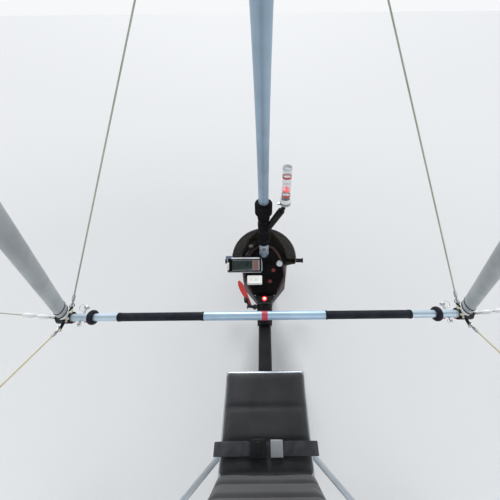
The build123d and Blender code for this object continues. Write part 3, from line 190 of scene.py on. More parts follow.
sky.links.new(shown.outputs["Background"], choice.inputs[2])
sky.links.new(choice.outputs["Shader"], sky.nodes["World Output"].inputs["Surface"])

for name, turn, strength, spread in SUNS:
    bpy.ops.object.light_add(type="SUN", rotation=[radians(angle) for angle in turn])
    sun = bpy.context.object
    sun.name = name
    sun.data.energy = strength
    sun.data.angle = radians(spread)

bpy.ops.mesh.primitive_plane_add(size=FLOOR_SIZE, location=(0, 0, 0))
floor = bpy.context.object
floor.name = "floor"
floor_paint = bpy.data.materials.new("floor_paint")
floor_paint.use_nodes = True
floor_shader = floor_paint.node_tree.nodes["Principled BSDF"]
floor_shader.inputs["Base Color"].default_value = (*FLOOR_COLOUR, 1.0)
floor_shader.inputs["Roughness"].default_value = 0.9
floor.data.materials.append(floor_paint)
print("suns:", len(SUNS))

# %% [markdown]
# A finish is one Principled shader with a colour, a roughness and a metal share, and patterns that
# are laid over those three. Every pattern reads Object coordinates, so that it sits still on the
# piece. The helpers below add one pattern each: cloudy colour, uneven gloss, and fine relief.
# Colours are written as they look on a screen, from 0 to 255, and turned to linear light once.

# %% Helpers for finishes


def seen_as(red, green, blue):
    """Linear colour of a shade given as a screen shows it, 0 to 255."""
    shades = []
    for part in (red, green, blue):
        share = part / 255
        shades.append(share / 12.92 if share <= 0.04045 else ((share + 0.055) / 1.055) ** 2.4)
    return tuple(shades)


def shader_of(finish):
    """The Principled shader of a finish."""
    return finish.node_tree.nodes["Principled BSDF"]


def adjust(finish, input_name, value):
    """Sets one input of a finish's shader."""
    shader_of(finish).inputs[input_name].default_value = value


def new_finish(name, colour, roughness, metal=0.0):
    """A material with one Principled shader, set to a plain colour as seen, gloss and metal share."""
    finish = bpy.data.materials.new(name)
    finish.use_nodes = True
    adjust(finish, "Base Color", (*seen_as(*colour), 1.0))
    adjust(finish, "Roughness", roughness)
    adjust(finish, "Metallic", metal)
    return finish


def glow(finish, colour, strength):
    """Lets a finish give off a little light of its own."""
    adjust(finish, "Emission Color", (*colour, 1.0))
    adjust(finish, "Emission Strength", strength)


def add_node(finish, kind, **values):
    """Adds a node to a finish. Its inputs are set by name, with a low line for each space."""
    node = finish.node_tree.nodes.new("ShaderNode" + kind)
    for name, value in values.items():
        node.inputs[name.replace("_", " ")].default_value = value
    return node


def join_sockets(finish, source, target):
    """Links one node's output to another node's input."""
    finish.node_tree.links.new(source, target)


def pattern_place(finish, stretch=(1, 1, 1), turn=(0, 0, 0)):
    """Object coordinates, stretched and turned: where a pattern reads its place."""
    place = add_node(finish, "TexCoord")
    mapping = add_node(finish, "Mapping", Scale=stretch, Rotation=turn)
    join_sockets(finish, place.outputs["Object"], mapping.inputs["Vector"])
    return mapping.outputs["Vector"]


def noise(finish, scale, detail=4.0, stretch=(1, 1, 1), turn=(0, 0, 0)):
    """A cloudy pattern from 0 to 1."""
    cloud = add_node(finish, "TexNoise", Scale=scale, Detail=detail)
    join_sockets(finish, pattern_place(finish, stretch, turn), cloud.inputs["Vector"])
    return cloud.outputs["Fac"]


def shade_by(finish, pattern, dark, light, low=0.35, high=0.65):
    """Colours the finish from dark to light as a pattern goes from low to high."""
    ramp = add_node(finish, "ValToRGB")
    for stop, place, shade in zip(ramp.color_ramp.elements, (low, high), (dark, light)):
        stop.position = place
        stop.color = (*shade, 1.0)
    join_sockets(finish, pattern, ramp.inputs["Fac"])
    join_sockets(finish, ramp.outputs["Color"], shader_of(finish).inputs["Base Color"])
    return ramp


def gloss_by(finish, pattern, smooth, rough, low=0.3, high=0.7):
    """Spreads the roughness between two values by a pattern."""
    span = add_node(finish, "MapRange", From_Min=low, From_Max=high, To_Min=smooth, To_Max=rough)
    join_sockets(finish, pattern, span.inputs["Value"])
    join_sockets(finish, span.outputs["Result"], shader_of(finish).inputs["Roughness"])


def relief_by(finish, pattern, height, strength=1.0, under=None):
    """Raises the surface by a pattern, up to a height in metres, over any relief before it."""
    bump = add_node(finish, "Bump", Distance=height, Strength=strength)
    join_sockets(finish, pattern, bump.inputs["Height"])
    if under is not None:
        join_sockets(finish, under.outputs["Normal"], bump.inputs["Normal"])
    join_sockets(finish, bump.outputs["Normal"], shader_of(finish).inputs["Normal"])
    return bump


def painted(name, colour, roughness, scuff=0.14):
    """Paint or powder coat: slight orange peel, faint handling marks and uneven gloss."""
    finish = new_finish(name, colour, roughness)
    lighter = tuple(min(1.0, part * 1.12 + 0.01) for part in seen_as(*colour))
    darker = tuple(part * 0.86 for part in seen_as(*colour))
    shade_by(finish, noise(finish, 9.0, 6.0), darker, lighter)
    gloss_by(finish, noise(finish, 34.0, 5.0), roughness * (1 - scuff), roughness * (1 + 2 * scuff))
    relief_by(finish, noise(finish, 900.0, 2.0), 0.00006, 0.35)
    return finish


def drawn_metal(name, colour, roughness, grain=(1, 40, 40)):
    """Anodised or drawn alloy: fine lines along the grain, faint stains and uneven gloss."""
    finish = new_finish(name, colour, roughness, 1.0)
    lighter = tuple(min(1.0, part * 1.08) for part in seen_as(*colour))
    darker = tuple(part * 0.88 for part in seen_as(*colour))
    shade_by(finish, noise(finish, 7.0, 5.0), darker, lighter)
    gloss_by(finish, noise(finish, 26.0, 8.0, grain), roughness * 0.75, roughness * 1.35)
    relief_by(finish, noise(finish, 60.0, 3.0, grain), 0.00002, 0.3)
    return finish


def moulded(name, colour, roughness, grain_height=0.00008, grain_scale=700.0):
    """Moulded plastic or rubber: a fine leathery grain and slightly uneven gloss."""
    finish = new_finish(name, colour, roughness)
    plain = seen_as(*colour)
    lighter = tuple(min(1.0, part * 1.25 + 0.004) for part in plain)
    shade_by(finish, noise(finish, 14.0, 5.0), plain, lighter)
    gloss_by(finish, noise(finish, 45.0, 4.0), roughness * 0.85, min(1.0, roughness * 1.2))
    relief_by(finish, noise(finish, grain_scale, 2.0), grain_height, 0.5)
    return finish


def clouded(name, colour, roughness, cloud, dark, light):
    """A finish whose shade drifts between dark and light; the cloud is a scale and a detail."""
    finish = new_finish(name, colour, roughness)
    shade_by(finish, noise(finish, *cloud), seen_as(*dark), seen_as(*light))
    return finish


print("helpers for finishes are ready")

# %% [markdown]
# The metals. The front strut is drawn tube with a blue-grey anodised skin, the wing's tubes are
# clear anodised, the base tube is powder coated and small plates are machined bare.

# %% Metal finishes
ALONG_Y = (40, 1, 40)
ALONG_Z = (40, 40, 1)
strut_skin = drawn_metal("strut_skin", (158, 180, 198), 0.40, ALONG_Z)
mast_skin = drawn_metal("mast_skin", (176, 184, 192), 0.36, ALONG_Z)
wing_tube_skin = drawn_metal("wing_tube_skin", (190, 195, 200), 0.32, ALONG_Y)
bar_skin = drawn_metal("bar_skin", (196, 214, 228), 0.36, ALONG_Y)
sleeve_skin = drawn_metal("sleeve_skin", (178, 205, 228), 0.40, ALONG_Y)
upright_skin = painted("upright_skin", (176, 182, 184), 0.38)
machined_plate = drawn_metal("machined_plate", (186, 189, 193), 0.30, (30, 30, 30))
zinc_steel = drawn_metal("zinc_steel", (176, 178, 182), 0.34, (20, 20, 20))
frame_coat = painted("frame_coat", (24, 24, 27), 0.42)
wire_sleeve = drawn_metal("wire_sleeve", (178, 186, 170), 0.42, (30, 30, 30))
khaki_sleeve = drawn_metal("khaki_sleeve", (206, 198, 166), 0.45, (30, 30, 30))
rim_skin = drawn_metal("rim_skin", (192, 195, 198), 0.34, (12, 12, 12))
METAL_SHARES = (
    (strut_skin, 0.55), (bar_skin, 0.6), (sleeve_skin, 0.4), (upright_skin, 0.25), (wire_sleeve, 0.35),
    (khaki_sleeve, 0.35),
)
for finish, share in METAL_SHARES:
    adjust(finish, "Metallic", share)


def cast_alloy(name, colour, roughness, metal=0.85):
    """Sand-cast alloy: a pebbled skin with oily shadows."""
    finish = new_finish(name, colour, roughness, metal)
    plain = seen_as(*colour)
    shade_by(finish, noise(finish, 18.0, 8.0), tuple(part * 0.6 for part in plain), plain, 0.38, 0.6)
    gloss_by(finish, noise(finish, 40.0, 5.0), roughness * 0.8, roughness * 1.25)
    pebbles = relief_by(finish, noise(finish, 420.0, 3.0), 0.00025, 0.5)
    relief_by(finish, noise(finish, 55.0, 2.0), 0.0003, 0.3, pebbles)
    return finish


crankcase_skin = cast_alloy("crankcase_skin", (150, 152, 154), 0.5)
fin_coat = cast_alloy("fin_coat", (58, 59, 61), 0.55)
exhaust_coat = cast_alloy("exhaust_coat", (66, 62, 60), 0.6, 0.4)
print("finishes so far:", len(bpy.data.materials))

# %% [markdown]
# Plastics, rubber, foam and glass. The pod is a dark polished shell, the screen is smoke-tinted
# sheet, the airspeed tube is clear, and the tank is milky plastic that light soaks into a little.

# %% Plastic, rubber and clear finishes
pod_shell = moulded("pod_shell", (15, 11, 12), 0.30, 0.00003, 260.0)
adjust(pod_shell, "Coat Weight", 0.08)
adjust(pod_shell, "Coat Roughness", 0.12)
black_plastic = moulded("black_plastic", (20, 20, 22), 0.5)
panel_black = moulded("panel_black", (9, 8, 9), 0.62)
knuckle_plastic = moulded("knuckle_plastic", (26, 28, 31), 0.5)
grip_foam = moulded("grip_foam", (30, 34, 42), 0.78, 0.00035, 520.0)
wrap_foam = moulded("wrap_foam", (15, 14, 18), 0.92, 0.0007, 240.0)
tyre_rubber = moulded("tyre_rubber", (34, 34, 35), 0.72, 0.0002, 300.0)
white_plastic = moulded("white_plastic", (232, 234, 236), 0.35)
nylon = moulded("nylon", (226, 224, 214), 0.48)
tank_plastic = moulded("tank_plastic", (226, 220, 200), 0.42)
adjust(tank_plastic, "Subsurface Weight", 0.25)
adjust(tank_plastic, "Subsurface Scale", 0.02)
casing_silver = drawn_metal("casing_silver", (196, 200, 204), 0.3, (24, 24, 24))
lever_red = moulded("lever_red", (206, 58, 56), 0.4)
band_red = moulded("band_red", (196, 62, 84), 0.38)
filter_red = moulded("filter_red", (132, 34, 30), 0.85, 0.0006, 380.0)
DULLED = (
    # finish, share of light that its surface throws straight back
    (pod_shell, 0.15), (black_plastic, 0.22), (panel_black, 0.08), (knuckle_plastic, 0.22),
    (grip_foam, 0.25), (wrap_foam, 0.10), (frame_coat, 0.25),
)
for finish, share in DULLED:
    adjust(finish, "Specular IOR Level", share)


def clear_sheet(name, tint, roughness, ior, alpha):
    """Thin clear plastic: tinted, mostly see-through, with faint wiping marks in its gloss."""
    finish = new_finish(name, tint, roughness)
    for input_name, value in (("IOR", ior), ("Alpha", alpha), ("Coat Weight", 0.5), ("Coat Roughness", 0.05)):
        adjust(finish, input_name, value)
    gloss_by(finish, noise(finish, 22.0, 6.0, (1, 3, 1)), roughness * 0.7, roughness * 2.2)
    return finish


screen_smoke = clear_sheet("screen_smoke", (58, 47, 28), 0.09, 1.5, 0.8)
clear_tube = clear_sheet("clear_tube", (214, 220, 222), 0.05, 1.5, 0.16)
print("finishes so far:", len(bpy.data.materials))

# %% [markdown]
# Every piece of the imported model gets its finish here. One table names what each one is made of,
# so that a reader can see at a glance which pieces are meant to match.

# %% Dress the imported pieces
FINISH_OF = {
    frame_coat: ("base_tube", "rear_legs", "nose_fork", "lever_pivot"),
    mast_skin: ("mast", "gear_stays", "seat_frame"),
    strut_skin: ("front_strut",),
    machined_plate: ("mast_head", "engine_mount", "propeller_hub", "nose_plates"),
    zinc_steel: ("hang_bolt",),
    wing_tube_skin: ("wing_keel", "leading_edges", "cross_tubes"),
    upright_skin: ("uprights", "king_post"),
    bar_skin: ("base_bar",),
    sleeve_skin: ("bar_sleeve",),
    band_red: ("centre_band",),
    grip_foam: ("bar_grips", "foot_pegs", "seat_base_pad", "seat_back_pad"),
    knuckle_plastic: ("corner_fittings", "apex_bracket"),
    wrap_foam: ("strut_wrap",),
    black_plastic: ("airspeed_clamp", "display_mount"),
    panel_black: ("instrument_panel",),
    wire_sleeve: ("front_wires", "side_wires", "top_wires"),
    khaki_sleeve: ("rear_wires",),
    clear_tube: ("airspeed_tube",),
    pod_shell: ("nose_pod", "propeller_blades"),
    screen_smoke: ("windscreen",),
    white_plastic: ("panel_instruments", "upright_ends"),
    casing_silver: ("display_unit",),
    lever_red: ("hand_lever",),
    tank_plastic: ("fuel_tank",),
    nylon: ("hang_block", "sail"),
    crankcase_skin: ("engine_crankcase", "drive_housing", "carburettor"),
    fin_coat: ("engine_cylinder",),
    exhaust_coat: ("exhaust",),
    filter_red: ("air_filter",),
    rim_skin: ("nose_rim", "main_rim_left", "main_rim_right"),
    tyre_rubber: ("nose_tyre", "main_tyre_left", "main_tyre_right"),
}
for finish, node_names in FINISH_OF.items():
    for node_name in node_names:
        node = frame["nodes"].get(node_name)
        if node is not None:
            node.data.materials.clear()
            node.data.materials.append(finish)
undressed = sorted(set(frame["nodes"]) - set(sum(FINISH_OF.values(), ())))
print("pieces still without a finish:", undressed)

# %% [markdown]
# New pieces are modelled as by hand: a primitive is added where the piece belongs, shaped in edit
# mode, and settled, which lays its place into its mesh and hangs it on the body that it moves with.
# Three shapes cover most small hardware: a turned piece, which is a circle extruded ring by ring
# like work on a lathe, a rounded block, and a hexagon head with its washer.

# %% Helpers for modelling


def edit_mode():
    """Starts editing the active piece."""
    bpy.ops.object.mode_set(mode="EDIT")


def object_mode():
    """Ends editing."""
    bpy.ops.object.mode_set(mode="OBJECT")


def place_along(piece, start, run):
    """Stands a piece that was made along Z on a start point, along a run."""
    piece.location = start
    piece.rotation_euler = run.to_track_quat("Z", "Y").to_euler()


def settle(piece, name, finish, body):
    """Names a piece, lays its place into its mesh, and gives it a finish and a body."""
    make_active(piece)
    bpy.ops.object.transform_apply(location=True, rotation=True, scale=True)
    piece.name = name
    piece.data.name = name
    if finish is not None:
        piece.data.materials.clear()
        piece.data.materials.append(finish)
    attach(piece, body)
    return piece


def apply_modifiers(piece):
    """Applies every modifier of a piece, in order."""
    make_active(piece)
    for modifier in list(piece.modifiers):
        bpy.ops.object.modifier_apply(modifier=modifier.name)


def soften(piece, width, segments=2, angle=35):
    """Rounds the sharp edges of a piece and shades it smooth."""
    bevel = piece.modifiers.new("round", "BEVEL")
    bevel.width = width
    bevel.segments = segments
    bevel.limit_method = "ANGLE"
    bevel.angle_limit = radians(angle)
    apply_modifiers(piece)
    bpy.ops.object.shade_smooth_by_angle(angle=radians(angle))


def joined(pieces):
    """Joins several pieces into the first one."""
    make_active(pieces[0])
    for piece in pieces:
        piece.select_set(True)
    bpy.ops.object.join()
    return pieces[0]


def turned(profile, start, run, sides=32, wall=0.0, crisp=35):
    """A lathe-turned piece along a run, from rings given as distance along and radius."""
    select_none()
    bpy.ops.mesh.primitive_circle_add(
        vertices=sides, radius=profile[0][1], fill_type="NOTHING" if wall else "NGON"
    )
    piece = bpy.context.object
    edit_mode()
    bpy.ops.transform.translate(value=(0, 0, profile[0][0]))
    for (last_along, last_radius), (along, radius) in zip(profile, profile[1:]):
        bpy.ops.mesh.extrude_region_move(
            TRANSFORM_OT_translate={"value": (0, 0, along - last_along)}
        )
        scale = radius / last_radius
        bpy.ops.transform.resize(value=(scale, scale, 1))
    bpy.ops.mesh.select_all(action="SELECT")
    bpy.ops.mesh.normals_make_consistent(inside=False)
    object_mode()
    if wall:
        shell = piece.modifiers.new("wall", "SOLIDIFY")
        shell.thickness = wall
        shell.offset = -1
        apply_modifiers(piece)
    make_active(piece)
    bpy.ops.object.shade_smooth_by_angle(angle=radians(crisp))
    place_along(piece, start, run)
    return piece


def turned_piece(name, profile, start, run, finish, body, slot, **shape):
    """A lathe-turned piece with its name, finish and body; the slot is not used, and the rest goes to the
    lathe.
    """
    return settle(turned(profile, start, run, **shape), name, finish, body)


def collar_profile(half, reach, step=0.0002, drop=0.0010):
    """Rings of a plain band with its edges broken: half its width, its radius and the small steps."""
    return [(-half - step, reach - drop), (-half, reach), (half, reach), (half + step, reach - drop)]


def round_places(count, radius, first=0.0):
    """Pairs of distances, along two directions, for places spaced evenly round a circle."""
    angles = [radians(first + number * 360 / count) for number in range(count)]
    return [(radius * cos(angle), radius * sin(angle)) for angle in angles]


def rounded_block(centre, size, rounding, turn=None, segments=3):
    """A block with rounded edges; its own axes may be turned by a matrix."""
    select_none()
    bpy.ops.mesh.primitive_cube_add(size=1, location=centre)
    piece = bpy.context.object
    piece.scale = size
    bpy.ops.object.transform_apply(location=False, rotation=False, scale=True)
    soften(piece, rounding, segments)
    if turn is not None:
        piece.rotation_euler = turn.to_euler()
    return piece


def copy_of(piece):
    """A copy of a piece with a mesh of its own."""
    make_active(piece)
    bpy.ops.object.duplicate(linked=False)
    return bpy.context.object


def hex_head(across, height, washer=1.35):
    """A hexagon head on its washer, standing on the origin along Z."""
    half = across / 2
    head = turned(
        [(height * 0.18, half), (height * 0.86, half), (height, half * 0.86)], ORIGIN, UP, sides=6, crisp=20
    )
    base = turned(
        [(0, half * washer), (height * 0.16, half * washer), (height * 0.2, half * washer * 0.94)],
        ORIGIN, UP, sides=20,
    )
    return joined([head, base])


def heads_at(places, across, height, name, body):
    """Zinc-plated bolt heads at several places, each given as a point and the way that it faces."""
    first = hex_head(across, height)
    heads = []
    for point, facing in places:
        head = copy_of(first)
        place_along(head, point, facing)
        heads.append(head)
    bpy.data.objects.remove(first)
    return settle(joined(heads), name, zinc_steel, body)


print("helpers for modelling are ready")

# %% [markdown]
# The sail is one sheet of stiff woven cloth, stretched over the leading edge tubes and held in shape
# by thin battens that lie in sewn pockets from front to back. On the real wing the cloth sinks a
# little between the battens and its rear edge is cut in shallow scallops. A grid is added with one
# column every few centimetres, and its points are laid on the wing's arched section. Solidify then
# gives the cloth its thickness. The sewing is in the finish, which reads the sheet's own UV map in
# metres: across the span and back from the front edge.

# %% The sail's shape
KEEL_UP = 0.075
NOSE_ANGLE = radians(61)
HALF_SPAN = 4.78
BATTEN_GAP = 0.478
CAMBER_PLACE, CAMBER_BASE, POCKET_LENGTH = 0.62, 0.6, 0.12
SAIL_THICKNESS = 0.002
POCKET_REACH, POCKET_HALF = 0.036, 0.0305
NOSE_AHEAD, KEEL_HALF = 1.268, 0.050
POCKET_TURN = radians(200)
SCALLOP_DEPTH, CLOTH_SINK = 0.035, 0.007
SAIL_CUTS = (
    # left, trailing edge ahead, trailing edge up, camber height
    (0.0, -1.150, 0.116, 0.190),
    (1.2, -1.345, 0.175, 0.168),
    (2.6, -1.578, 0.205, 0.128),
    (3.8, -1.740, 0.196, 0.084),
    (4.78, -1.815, 0.150, 0.034),
)


def edge_ahead(left):
    """How far ahead of the hang bolt the leading edge's middle line is."""
    return NOSE_AHEAD - (abs(left) - KEEL_HALF) / tan(NOSE_ANGLE)


def cut_at(left):
    """Trailing edge and camber between the two nearest cuts of the sail."""
    for low, high in zip(SAIL_CUTS, SAIL_CUTS[1:]):
        if left <= high[0]:
            share = (left - low[0]) / (high[0] - low[0])
            return [a + (b - a) * share for a, b in zip(low[1:], high[1:])]
    return list(SAIL_CUTS[-1][1:])


def circle_through(first, second, third):
    """Centre and radius of the circle through three points."""
    (ax, ay), (bx, by), (cx, cy) = first, second, third
    twice = 2 * (ax * (by - cy) + bx * (cy - ay) + cx * (ay - by))
    a_square, b_square, c_square = ax**2 + ay**2, bx**2 + by**2, cx**2 + cy**2
    x = (a_square * (by - cy) + b_square * (cy - ay) + c_square * (ay - by)) / twice
    y = (a_square * (cx - bx) + b_square * (ax - cx) + c_square * (bx - ax)) / twice
    return x, y, sqrt((ax - x) ** 2 + (ay - y) ** 2)


def sail_point(left, back):
    """Place on the sheet: back is below 0 round the front tube, and goes to 1 at the rear edge."""
    tail_ahead, tail_up, camber = cut_at(abs(left))
    nose = edge_ahead(left)
    if back <= 0:
        around = -back * POCKET_TURN
        ahead = nose + POCKET_REACH * sin(around)
        return on_wing(ahead, left, KEEL_UP + POCKET_HALF * cos(around))
    middle = (
        nose * CAMBER_PLACE + tail_ahead * (1 - CAMBER_PLACE),
        KEEL_UP * CAMBER_BASE + tail_up * (1 - CAMBER_BASE) + camber,
    )
    centre_x, centre_y, radius = circle_through(
        (tail_ahead, tail_up), middle, (nose, KEEL_UP + POCKET_HALF)
    )
    scallop = 0.5 - 0.5 * cos(2 * pi * abs(left) / BATTEN_GAP)
    rear = tail_ahead + SCALLOP_DEPTH * scallop
    ahead = nose + (rear - nose) * back
    height = centre_y + sqrt(radius**2 - (ahead - centre_x) ** 2)
    sink = CLOTH_SINK * scallop * sin(pi * back)
    return on_wing(ahead, left, height - sink)


COLUMNS, ROWS, FRONT_ROWS = 240, 46, 10
select_none()
bpy.ops.mesh.primitive_grid_add(x_subdivisions=COLUMNS, y_subdivisions=ROWS, size=1)
sail = bpy.context.object
sail_uv = sail.data.uv_layers.active
rest_place = [vertex.co.copy() for vertex in sail.data.vertices]


def sheet_share(co):
    """Span place and back share of a grid point, with the front rows wound round the tube."""
    row = (co.y + 0.5) * ROWS
    rows_there = FRONT_ROWS if row <= FRONT_ROWS else ROWS - FRONT_ROWS
    return co.x * 2 * HALF_SPAN, (row - FRONT_ROWS) / rows_there


for vertex in sail.data.vertices:
    left, back = sheet_share(vertex.co)
    vertex.co = sail_point(left, back)
for loop in sail.data.loops:
    left, back = sheet_share(rest_place[loop.vertex_index])
    chord = edge_ahead(left) - cut_at(abs(left))[0]
    from_front = back * (chord if back > 0 else POCKET_LENGTH)
    sail_uv.data[loop.index].uv = (left, from_front)
print("sail points:", len(sail.data.vertices))

# %% [markdown]
# At the nose the cloth is cut back round the nose plates, and round the king post's foot it has a
# slot. Both cuts are made with bisecting planes and deleted faces, before the cloth gets thickness.

# %% Cut the sail for the nose plates and the king post
NOSE_CUT_BACK, NOSE_CUT_FRONT, NOSE_CUT_HALF = 1.140, 1.5, 0.120
POST_AHEAD, POST_SLOT_REACH, POST_SLOT_HALF = 0.095, 0.030, 0.020


def cut_window(piece, ahead_from, ahead_to, half_width):
    """Takes a rectangular window out of the sheet, with clean edges on all its sides."""
    make_active(piece)
    edit_mode()
    planes = (
        (on_wing(ahead_from, 0, 0), WING_AHEAD),
        (on_wing(ahead_to, 0, 0), WING_AHEAD),
        (Vector((0, half_width, 0)), LEFT),
        (Vector((0, -half_width, 0)), LEFT),
    )
    for point, normal in planes:
        bpy.ops.mesh.select_all(action="SELECT")
        bpy.ops.mesh.bisect(plane_co=point, plane_no=normal)
    mesh = bmesh.from_edit_mesh(piece.data)
    for face in mesh.faces:
        middle = face.calc_center_median() - HANG_BOLT
        ahead = middle.dot(WING_AHEAD)
        face.select_set(ahead_from < ahead < ahead_to and abs(middle.y) < half_width)
    bmesh.update_edit_mesh(piece.data)
    bpy.ops.mesh.delete(type="FACE")
    object_mode()


cut_window(sail, NOSE_CUT_BACK, NOSE_CUT_FRONT, NOSE_CUT_HALF)
cut_window(sail, POST_AHEAD - POST_SLOT_REACH, POST_AHEAD + POST_SLOT_REACH, POST_SLOT_HALF)
cloth_wall = sail.modifiers.new("cloth", "SOLIDIFY")
cloth_wall.thickness = SAIL_THICKNESS
cloth_wall.offset = -1
apply_modifiers(sail)
bpy.ops.object.shade_smooth_by_angle(angle=radians(50))

# %% [markdown]
# Sailcloth is a tight plain weave filled with resin: almost white, slightly glossy, and it lets some
# light through. Panels are joined by double rows of zigzag stitching, each batten has a pocket of a
# second layer sewn on both sides, and the rear edge has a taped hem. The front band is a stiffer,
# greyer film. All of these are stripes measured in metres, so the finish works them out from the UV.

# %% The sailcloth
sail_cloth = new_finish("sail_cloth", (226, 228, 226), 0.5)


def uv_parts(finish):
    """The two parts of the UV map: across the span and back from the front edge, in metres."""
    uv = add_node(finish, "UVMap")
    parts = add_node(finish, "SeparateXYZ")
    join_sockets(finish, uv.outputs["UV"], parts.inputs["Vector"])
    return parts.outputs["X"], parts.outputs["Y"]


def calculate(finish, operation, first, second=None, third=None):
    """One step of arithmetic on sockets or numbers."""
    step = add_node(finish, "Math")
    step.operation = operation
    for place, value in enumerate((first, second, third)):
        if value is None:
            continue
        if isinstance(value, (int, float)):
            step.inputs[place].default_value = value
        else:
            join_sockets(finish, value, step.inputs[place])
    return step.outputs["Value"]


def stripe(finish, distance, middle, half_width):
    """1 where a distance is within half a width of a stripe's middle, and 0 elsewhere."""
    return calculate(finish, "COMPARE", distance, middle, half_width)


SEAM_OFFSET, FRONT_BAND = 0.12, 0.20
span, back = uv_parts(sail_cloth)
from_batten = calculate(sail_cloth, "PINGPONG", span, BATTEN_GAP / 2)
from_seam = calculate(sail_cloth, "PINGPONG", calculate(sail_cloth, "ADD", span, SEAM_OFFSET), BATTEN_GAP)
zigzag = calculate(sail_cloth, "PINGPONG", back, 0.004)
wavy_batten = calculate(sail_cloth, "ADD", from_batten, zigzag)
wavy_seam = calculate(sail_cloth, "ADD", from_seam, zigzag)
pocket = stripe(sail_cloth, from_batten, 0.0, 0.022)
batten_ridge = stripe(sail_cloth, from_batten, 0.0, 0.009)
pocket_stitch = stripe(sail_cloth, wavy_batten, 0.021, 0.0011)
seam_lap = stripe(sail_cloth, from_seam, 0.0, 0.011)
seam_stitch = stripe(sail_cloth, wavy_seam, 0.011, 0.0011)
front_band = calculate(sail_cloth, "LESS_THAN", back, FRONT_BAND)
front_stitch = stripe(sail_cloth, back, FRONT_BAND + 0.005, 0.0012)
sewn_back = calculate(sail_cloth, "MAXIMUM", seam_stitch, front_stitch)
stitches = calculate(sail_cloth, "MAXIMUM", pocket_stitch, sewn_back)
layers = calculate(sail_cloth, "MAXIMUM", pocket, seam_lap)

cloud = noise(sail_cloth, 2.6, 6.0)
cloth_ramp = shade_by(sail_cloth, cloud, seen_as(214, 217, 217), seen_as(233, 234, 231), 0.3, 0.7)


def laid_over(finish, under, over_colour, mask, strength):
    """Mixes a colour over another where a mask is 1."""
    mix = add_node(finish, "Mix")
    mix.data_type = "RGBA"
    sockets = [socket for socket in mix.inputs if socket.type == "RGBA"]
    sockets[1].default_value = (*over_colour, 1.0)
    join_sockets(finish, under, sockets[0])
    join_sockets(finish, calculate(finish, "MULTIPLY", mask, strength), mix.inputs["Factor"])
    colour_out = [socket for socket in mix.outputs if socket.type == "RGBA"][0]
    join_sockets(finish, colour_out, shader_of(finish).inputs["Base Color"])
    return colour_out


shade = laid_over(sail_cloth, cloth_ramp.outputs["Color"], seen_as(196, 200, 204), front_band, 0.85)
shade = laid_over(sail_cloth, shade, seen_as(240, 240, 238), layers, 0.55)
shade = laid_over(sail_cloth, shade, seen_as(120, 128, 140), stitches, 0.75)
weave = noise(sail_cloth, 900.0, 2.0)
weave_relief = relief_by(sail_cloth, weave, 0.0001, 0.35)
ridge_relief = relief_by(sail_cloth, batten_ridge, 0.0030, 0.8, weave_relief)
layer_relief = relief_by(sail_cloth, layers, 0.0006, 0.8, ridge_relief)
relief_by(sail_cloth, stitches, 0.0006, 0.6, layer_relief)
gloss_by(sail_cloth, noise(sail_cloth, 5.0, 5.0), 0.36, 0.56)
adjust(sail_cloth, "Sheen Weight", 0.15)
settle(sail, "sail_sheet", sail_cloth, "wing")
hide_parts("sail")
print("sailcloth is on the wing")

# %% [markdown]
# The seat has two foam pads in woven covers. Real foam fills its cover: the faces crown, the sides
# pull in between the corners, and the sewn channels draw the cover down in straight furrows. Each
# pad starts as a slightly small block in the place of its plain solid. A voxel remesh gives it even
# faces, Cloth blows it up with a little pressure, and no point may travel more than the cap. The
# furrows and the piped edge come after the simulation, because a remesh would erase them.

# %% Swell a pad
PAD_VOXEL = 0.006
PAD_PRESSURE, PAD_FRAMES, PAD_STIFFNESS, PAD_CAP = 4.0, 20, 12, 0.008
FURROW_DEPTH, FURROW_HALF = 0.009, 0.011
PAD_ROUNDING, PAD_INSET, PAD_THINNER = 0.016, 0.012, 0.014
PINCH_DEPTH, PINCH_PLACE, PINCH_HALF, RIM_FROM = 0.0025, 0.22, 0.006, 0.44
GROWTH = 2.718


def bell(off):
    """1 where the distance is 0, falling away smoothly on both sides."""
    return GROWTH ** (-off * off)


def swell(piece, cap):
    """Inflates a remeshed pad with Cloth, holds every point within a cap, and keeps the result."""
    make_active(piece)
    start = [vertex.co.copy() for vertex in piece.data.vertices]
    cloth = piece.modifiers.new("cloth", "CLOTH")
    cloth.settings.use_pressure = True
    cloth.settings.uniform_pressure_force = PAD_PRESSURE
    cloth.settings.effector_weights.gravity = 0.0
    cloth.settings.tension_stiffness = PAD_STIFFNESS
    cloth.settings.compression_stiffness = PAD_STIFFNESS
    for step in range(1, PAD_FRAMES + 1):
        bpy.context.scene.frame_set(step)
    bpy.ops.object.modifier_apply(modifier=cloth.name)
    bpy.context.scene.frame_set(1)
    for vertex, before in zip(piece.data.vertices, start):
        travel = vertex.co - before
        if travel.length > cap:
            vertex.co = before + travel * (cap / travel.length)


